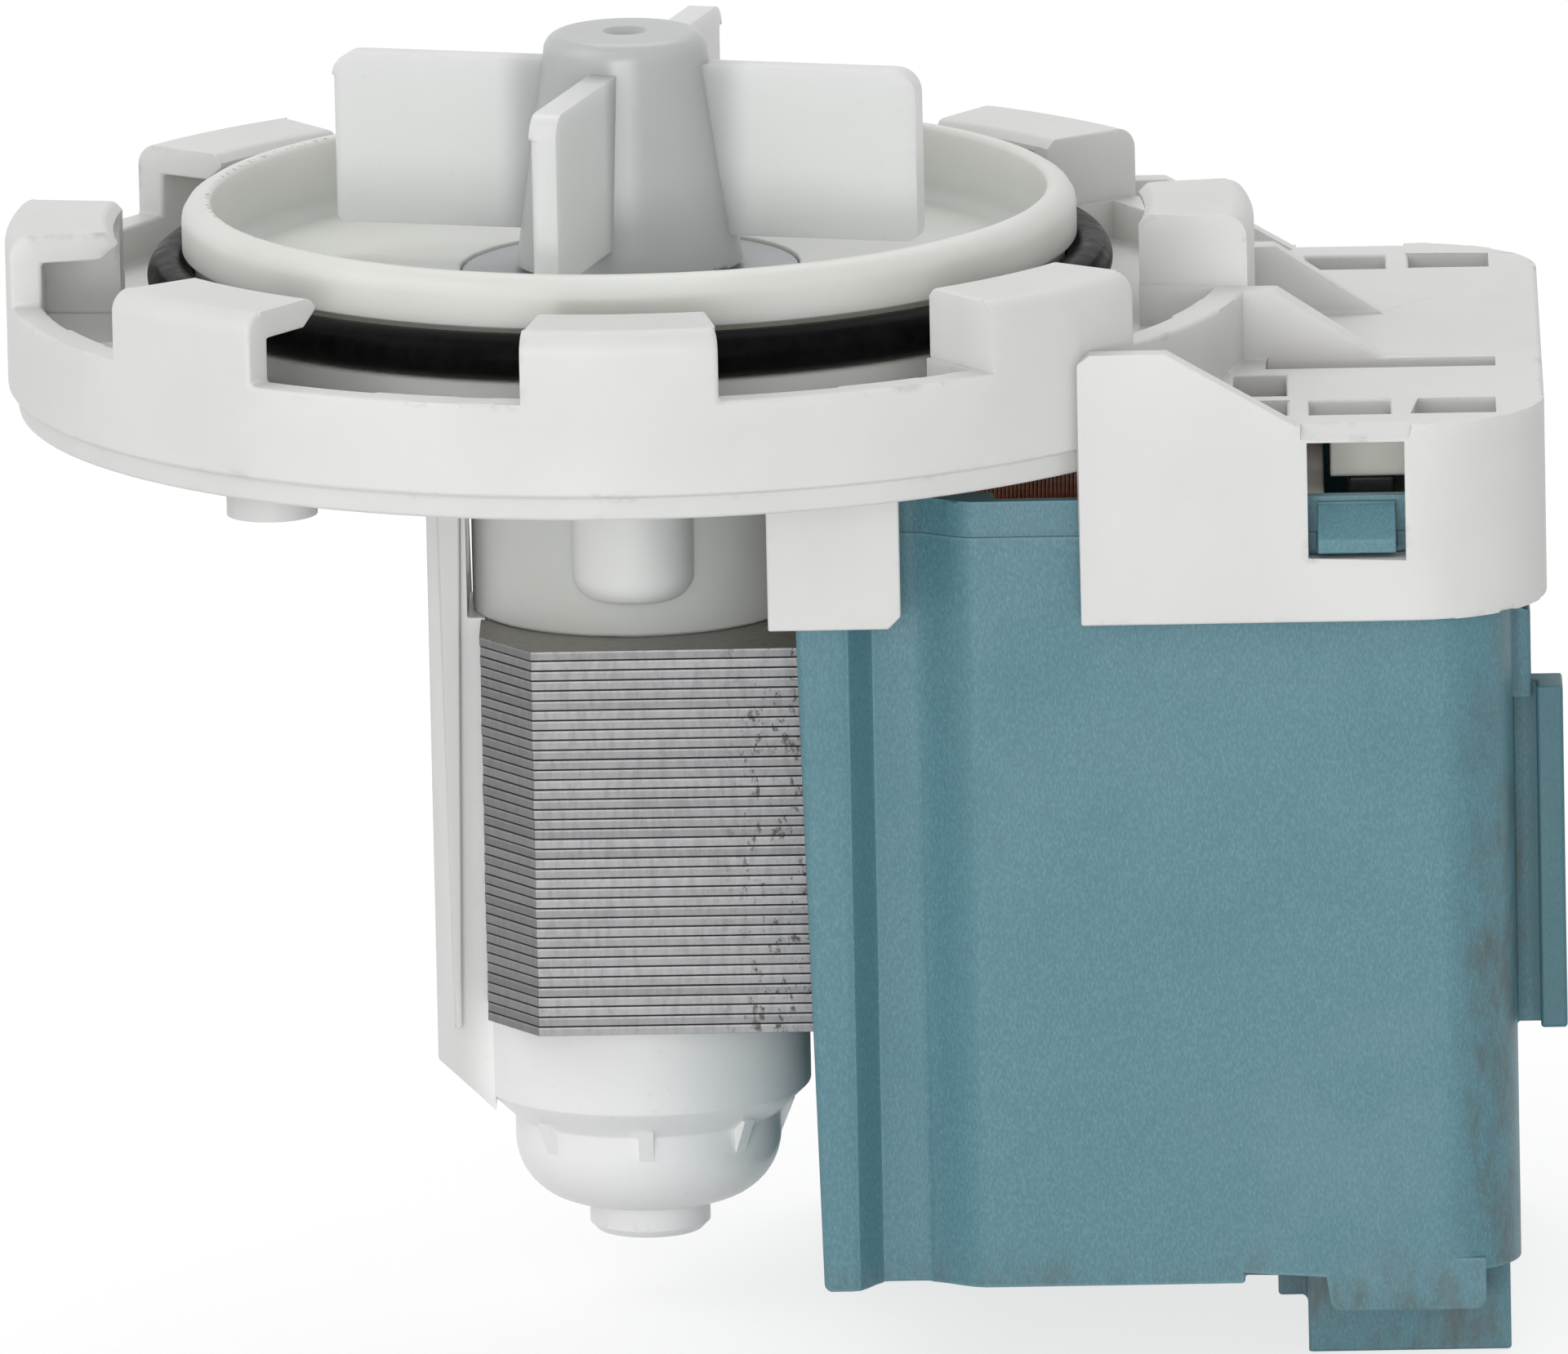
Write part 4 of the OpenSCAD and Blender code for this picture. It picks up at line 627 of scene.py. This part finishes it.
# %% Chamber and its boss
SHARP, WEB, COLLAR, LEDGE = 0.12, 1.8, 3.2, 1.6
dish_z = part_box("seal_carrier")[1].z / MM + 0.2
chamber_profile = rounded_profile([
    (10.95, dish_z, SHARP), (26.9, dish_z, 1.1), (26.9, 1.95, 0.35), (28.8, 1.95, 1.35), (28.8, -1.35, SHARP),
    (28.0, -1.35, SHARP), (28.0, -4.55, 0.3), (30.0, -4.55, 0.25), (30.0, -6.45, SHARP), (25.9, -6.45, SHARP),
    (25.9, -8.85, 0.3), (24.4, -8.85, 0.3), (24.4, dish_z - WEB, 0.4), (12.5, dish_z - WEB, 0.4),
    (12.5, dish_z - COLLAR, 0.3), (10.6, dish_z - COLLAR, 0.4), (10.6, -25.25, 0.25), (8.65, -25.25, SHARP),
    (8.65, dish_z - LEDGE, SHARP), (10.95, dish_z - LEDGE, SHARP),
])
grid_piece(
    "pump_chamber", "stator", chamber_ivory, turned(chamber_profile, 240), True, True,
    stands_for=["chamber_cover"],
)
BOSS_Y, BOSS_R, BOSS_TOP, BOSS_FOOT, CUP_MIDDLE_R = -9.2, 3.95, -6.4, -22.95, 9.6
ARC_STEPS = 9
boss_profile = rounded_profile(
    [(0.0, BOSS_TOP, 0.0), (0.001, BOSS_FOOT, 0.0), (BOSS_R, BOSS_FOOT, 1.8), (BOSS_R, BOSS_TOP, 0.1)], ARC_STEPS
)
boss = turned(np.concatenate([boss_profile[ARC_STEPS:], boss_profile[:1]]), 64, (0.0, BOSS_Y))
from_axis = np.hypot(boss[..., 0], boss[..., 1])[..., None]
boss[..., :2] *= np.maximum(1, CUP_MIDDLE_R / np.maximum(from_axis, 0.1))
grid_piece("chamber_boss", "stator", boss_ivory_painted_light, boss, True, False)

# %% [markdown]
# ## Sealing ring
# An O-ring is a torus, but a moulded one has a fine ridge of flash where the two halves of its mould met.
# The section's radius swells a little at those two places, so a highlight breaks there as on rubber.

# %% O-ring with its flash line
ring_low, ring_high = (np.array(v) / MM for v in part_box("o_ring"))
cord_r = (ring_high[2] - ring_low[2]) / 2
ring_mid_r = ring_high[0] - cord_r
AROUND, SECTION = 240, 56
around = np.linspace(0, 2 * np.pi, AROUND, endpoint=False)
section = np.linspace(0, 2 * np.pi, SECTION, endpoint=False)
flash = 0.03 * np.exp(-((np.sin(section - np.pi / 4) / 0.07) ** 2))
radius = cord_r - 0.02 + flash
ring_r = ring_mid_r + radius * np.cos(section)
ring_z = (ring_low[2] + ring_high[2]) / 2 + radius * np.sin(section)
level_z = np.broadcast_to(ring_z, (AROUND, SECTION))
points = np.stack([np.outer(np.cos(around), ring_r), np.outer(np.sin(around), ring_r), level_z], -1)
grid_piece("sealing_ring", "stator", black_rubber, points, True, True, stands_for=["o_ring"])

# %% [markdown]
# ## Laminated core
# A stack of sheets could be 39 thin prisms, but their hidden faces would cost much and show nothing. One
# skin does it: the outline of the sheet is carried up the stack, drawn in at each joint, and each sheet
# is shifted by a few hundredths of a millimetre, as pressed stacks are.


# %% Helper: skin of a stack of sheets
RING_LEVELS, RING_INSET = np.array([0.055, 0.075, 0.925, 0.945]), [0.22, 0.0, 0.0, 0.22]
SHY = 0.02


def evenly(corners, step):
    """Points along a closed polygon, with each corner kept and each side cut into parts of about one step."""
    corners = np.asarray(corners, float)
    sides = np.roll(corners, -1, 0) - corners
    parts = np.maximum(1, np.round(np.hypot(*sides.T) / step).astype(int))
    start, side = np.repeat(corners, parts, 0), np.repeat(sides / parts[:, None], parts, 0)
    rank = np.arange(parts.sum()) - np.repeat(np.cumsum(parts) - parts, parts)
    return start + side * rank[:, None]


def outward(outline):
    """Normal of each outline point: the sum of its sides' normals, scaled so that both move by one unit."""
    side = np.roll(outline, -1, 0) - outline
    normal = np.stack([side[:, 1], -side[:, 0]], -1) / np.hypot(*side.T)[:, None]
    both = normal + np.roll(normal, 1, 0)
    return both / np.maximum(0.3, (both * normal).sum(1))[:, None]


def sheet_stack(name, outline, seed, stands_for):
    """Four rings per sheet: low edge drawn in, full, full, high edge drawn in; a seeded shift jogs each sheet."""
    low, high = (np.array(v)[2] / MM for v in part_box(stands_for))
    step = (high - low) / SHEETS
    levels = (np.arange(SHEETS)[:, None] + RING_LEVELS).ravel() * step + low
    inset = np.tile(RING_INSET, SHEETS)
    jog = np.repeat(np.random.default_rng(seed).normal(0.0, 0.018, (SHEETS, 2)), 4, 0).clip(-0.04, 0.04)
    plan = outline[None] - outward(outline)[None] * (inset[:, None, None] + SHY) + jog[:, None, :]
    points = np.concatenate([plan, np.broadcast_to(levels[:, None, None], (*plan.shape[:2], 1))], -1)
    piece = grid_piece(name, "stator", sheet_steel, points, False, True, True, [stands_for])
    piece.data.polygons.foreach_set("use_smooth", np.zeros(len(piece.data.polygons), bool))


# %% Outlines of the two poles and the yoke
POLE_END, POLE_SIDE, POLE_TIP, BORE_R = 10.0, 14.5, 4.4, 10.3
CUT_X, CUT_Y = 3.4, 4.9
STEP_X, ARM_IN, ARM_OUT, YOKE_X, YOKE_END = 12.4, 7.0, 15.5, 46.0, 54.0
tip_angle = math.asin(POLE_TIP / BORE_R)
bore_angles = np.linspace(np.pi - tip_angle, tip_angle, 41)
bore = BORE_R * np.stack([np.cos(bore_angles), np.sin(bore_angles)], -1)
straight = evenly(
    [
        (STEP_X, POLE_TIP), (STEP_X + 0.4, ARM_IN), (YOKE_X, ARM_IN), (YOKE_X, ARM_OUT), (STEP_X + 0.4, ARM_OUT),
        (STEP_X, POLE_SIDE), (-POLE_END + CUT_X, POLE_SIDE), (-POLE_END, POLE_SIDE - CUT_Y), (-POLE_END, POLE_TIP),
    ],
    4.0,
)
last_corner = np.flatnonzero((straight == (-POLE_END, POLE_TIP)).all(1))[0]
back_pole = np.concatenate([straight[: last_corner + 1], bore])
front_pole = back_pole[::-1] * (1, -1)
yoke = evenly([(YOKE_X, -ARM_OUT), (YOKE_END, -ARM_OUT), (YOKE_END, ARM_OUT), (YOKE_X, ARM_OUT)], 6.0)
sheet_stack("front_pole_sheets", front_pole, 11, "front_pole_stack")
sheet_stack("back_pole_sheets", back_pole, 12, "back_pole_stack")
sheet_stack("yoke_sheets", yoke + (SHY, 0.0), 13, "yoke_stack")

# %% [markdown]
# ## Windings
# Each coil holds thousands of turns of fine wire. Only the outer layer shows, so one wire is laid there,
# turn by turn around a rectangle with round corners, from the near flange to the far one. A texture of
# stripes would be cheaper, but it has no round highlights and nothing to cast the fine shadows.


# %% Helper: one layer of wire
def rounded_turn(half_y, half_z, corner, per_corner):
    """One turn around a rectangle with round corners: quarter circles about the four corner centres."""
    angle = np.linspace(0, np.pi / 2, per_corner)[None] + np.arange(4)[:, None] * np.pi / 2
    centre_y = np.array([1, -1, -1, 1])[:, None] * (half_y - corner)
    centre_z = np.array([1, 1, -1, -1])[:, None] * (half_z - corner)
    place = np.stack([centre_y + corner * np.cos(angle), centre_z + corner * np.sin(angle)], -1)
    normal = np.stack([np.cos(angle), np.sin(angle)], -1)
    return place.reshape(-1, 2), normal.reshape(-1, 2)


def wire_layer(name, side, stands_for, turns=112, corner=4.0, per_corner=6, sides=6):
    """A wire of 96% of its pitch: the turn repeats while x grows evenly, and a circle is carried along it."""
    span_low, span_high = (np.array(v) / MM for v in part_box(side + "_winding"))
    low, high = (np.array(v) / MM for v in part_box(stands_for))
    middle = (span_low + span_high) / 2
    pitch = (span_high[0] - span_low[0]) / (turns + 1)
    wire_r = 0.48 * pitch
    half_y = (high[1] - low[1]) / 2 - wire_r
    half_z = (high[2] - low[2]) / 2 - wire_r
    place, normal = rounded_turn(half_y, half_z, corner, per_corner)
    count = len(place)
    rank = np.arange(turns * count + 1)
    place, normal = place[rank % count], normal[rank % count]
    x = span_low[0] + pitch * (0.5 + rank / count)
    spin = np.linspace(0, 2 * np.pi, sides, endpoint=False)
    across, out = wire_r * np.cos(spin), wire_r * np.sin(spin)
    points = np.stack(
        [
            x[:, None] + across[None],
            middle[1] + place[:, :1] + normal[:, :1] * out[None],
            middle[2] + place[:, 1:] + normal[:, 1:] * out[None],
        ],
        -1,
    )
    grid_piece(name, "stator", copper_lacquer, points, False, True, True, [stands_for])


wire_layer("front_wire", "front", "front_outer_layer")
wire_layer("back_wire", "back", "back_outer_layer")

# %% [markdown]
# ## Pieces that stay as drawn
# What is sealed inside is turned or pressed and simple in shape, so the CAD solids stay and only get
# their finishes.

# %% Finishes on the inner solids
INNER = {
    "lip_seal": black_rubber, "front_bush": porous_bronze, "rear_bush": porous_bronze, "rear_cushion": black_rubber,
    "front_winding": copper_lacquer, "back_winding": copper_lacquer, "lead_wires": lead_red,
    "rotor_shaft": ground_steel, "rotor_magnet": magnet_grey, "magnet_hub": can_milky, "driver_dog": impeller_milky,
    "thrust_washers": ground_steel, "hub_base": impeller_milky, "clutch_buffer": black_rubber,
}
for node, finish in INNER.items():
    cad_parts[node].data.materials.clear()
    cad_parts[node].data.materials.append(finish)
print(len(INNER), "inner solids dressed")

# %% [markdown]
# ## Floor and light
# The photograph has a white ground and broad, even light with a little more from the front left. A white
# floor that is lit enough to clip would also flood the pump, so the floor adds a glow that only the eye and
# mirrors see, and below that it stays a plain pale surface that takes the shadow.


# %% White floor
def seen_directly(tree):
    """1 for rays from the eye, from mirrors and through glass, 0 for the light that falls on the pump."""
    rays = tree.nodes.new("ShaderNodeLightPath").outputs
    shiny = calc(tree, "MAXIMUM", rays["Is Glossy Ray"], rays["Is Transmission Ray"])
    return calc(tree, "MAXIMUM", rays["Is Camera Ray"], shiny)


FLOOR_HALF_M, FLOOR_GLOW = 4.0, 0.74
FLOOR_PALE, FLOOR_SEEN = (0.78, 0.78, 0.78), (0.36, 0.36, 0.36)
floor_z = cad_low.z - 0.05 * MM
floor_mesh = bpy.data.meshes.new("floor")
corners = np.array([[-1, -1, 0], [1, -1, 0], [1, 1, 0], [-1, 1, 0]]) * FLOOR_HALF_M + (0, 0, floor_z)
floor_mesh.from_pydata(corners.tolist(), [], [[0, 1, 2, 3]])
floor = bpy.data.objects.new("floor", floor_mesh)
bpy.context.scene.collection.objects.link(floor)
floor_white = bpy.data.materials.new("floor_white")
floor_white.use_nodes = True
tree = floor_white.node_tree
tree.nodes.clear()
seen = seen_directly(tree)
paint = put(tree, "BsdfDiffuse", Color=blend_colour(tree, seen, shaded(FLOOR_PALE), shaded(FLOOR_SEEN)))
glow = put(tree, "Emission", Color=(1, 1, 1, 1), Strength=times(tree, seen, FLOOR_GLOW))
surface = put(tree, "AddShader", _0=paint, _1=glow)
end = tree.nodes.new("ShaderNodeOutputMaterial")
tree.links.new(surface, end.inputs["Surface"])
floor_mesh.materials.append(floor_white)
print("floor at %.1f mm" % (floor_z / MM))

# %% Sky and lamps
world = bpy.data.worlds.new("studio")
bpy.context.scene.world = world
world.use_nodes = True
tree = world.node_tree
tree.nodes.clear()
SKY_LIGHT = 0.50
brightness = between(tree, seen_directly(tree), 0.0, 1.0, SKY_LIGHT, 1.0)
sky = put(tree, "Background", Color=(1, 1, 1, 1), Strength=brightness)
end = tree.nodes.new("ShaderNodeOutputWorld")
tree.links.new(sky, end.inputs["Surface"])


def soft_lamp(name, place_mm, watts, wide_mm, high_mm):
    """Rectangular area lamp at a place, turned to face the middle of the pump."""
    light = bpy.data.lights.new(name, "AREA")
    light.energy, light.shape = watts, "RECTANGLE"
    light.size, light.size_y = wide_mm * MM, high_mm * MM
    lamp = bpy.data.objects.new(name, light)
    bpy.context.scene.collection.objects.link(lamp)
    lamp.location = Vector(place_mm) * MM
    lamp.rotation_mode = "QUATERNION"
    lamp.rotation_quaternion = ((AIM_MM - Vector(place_mm)) * MM).to_track_quat("-Z", "Y")


soft_lamp("front", (-60, -960, 70), 2.3, 560, 560)
soft_lamp("low_front", (-100, -900, 2), 1.55, 420, 130)
soft_lamp("left", (-650, -250, 600), 1.5, 600, 600)
soft_lamp("back", (60, 500, 760), 1.85, 600, 600)
bpy.context.scene.view_settings.view_transform = "Standard"
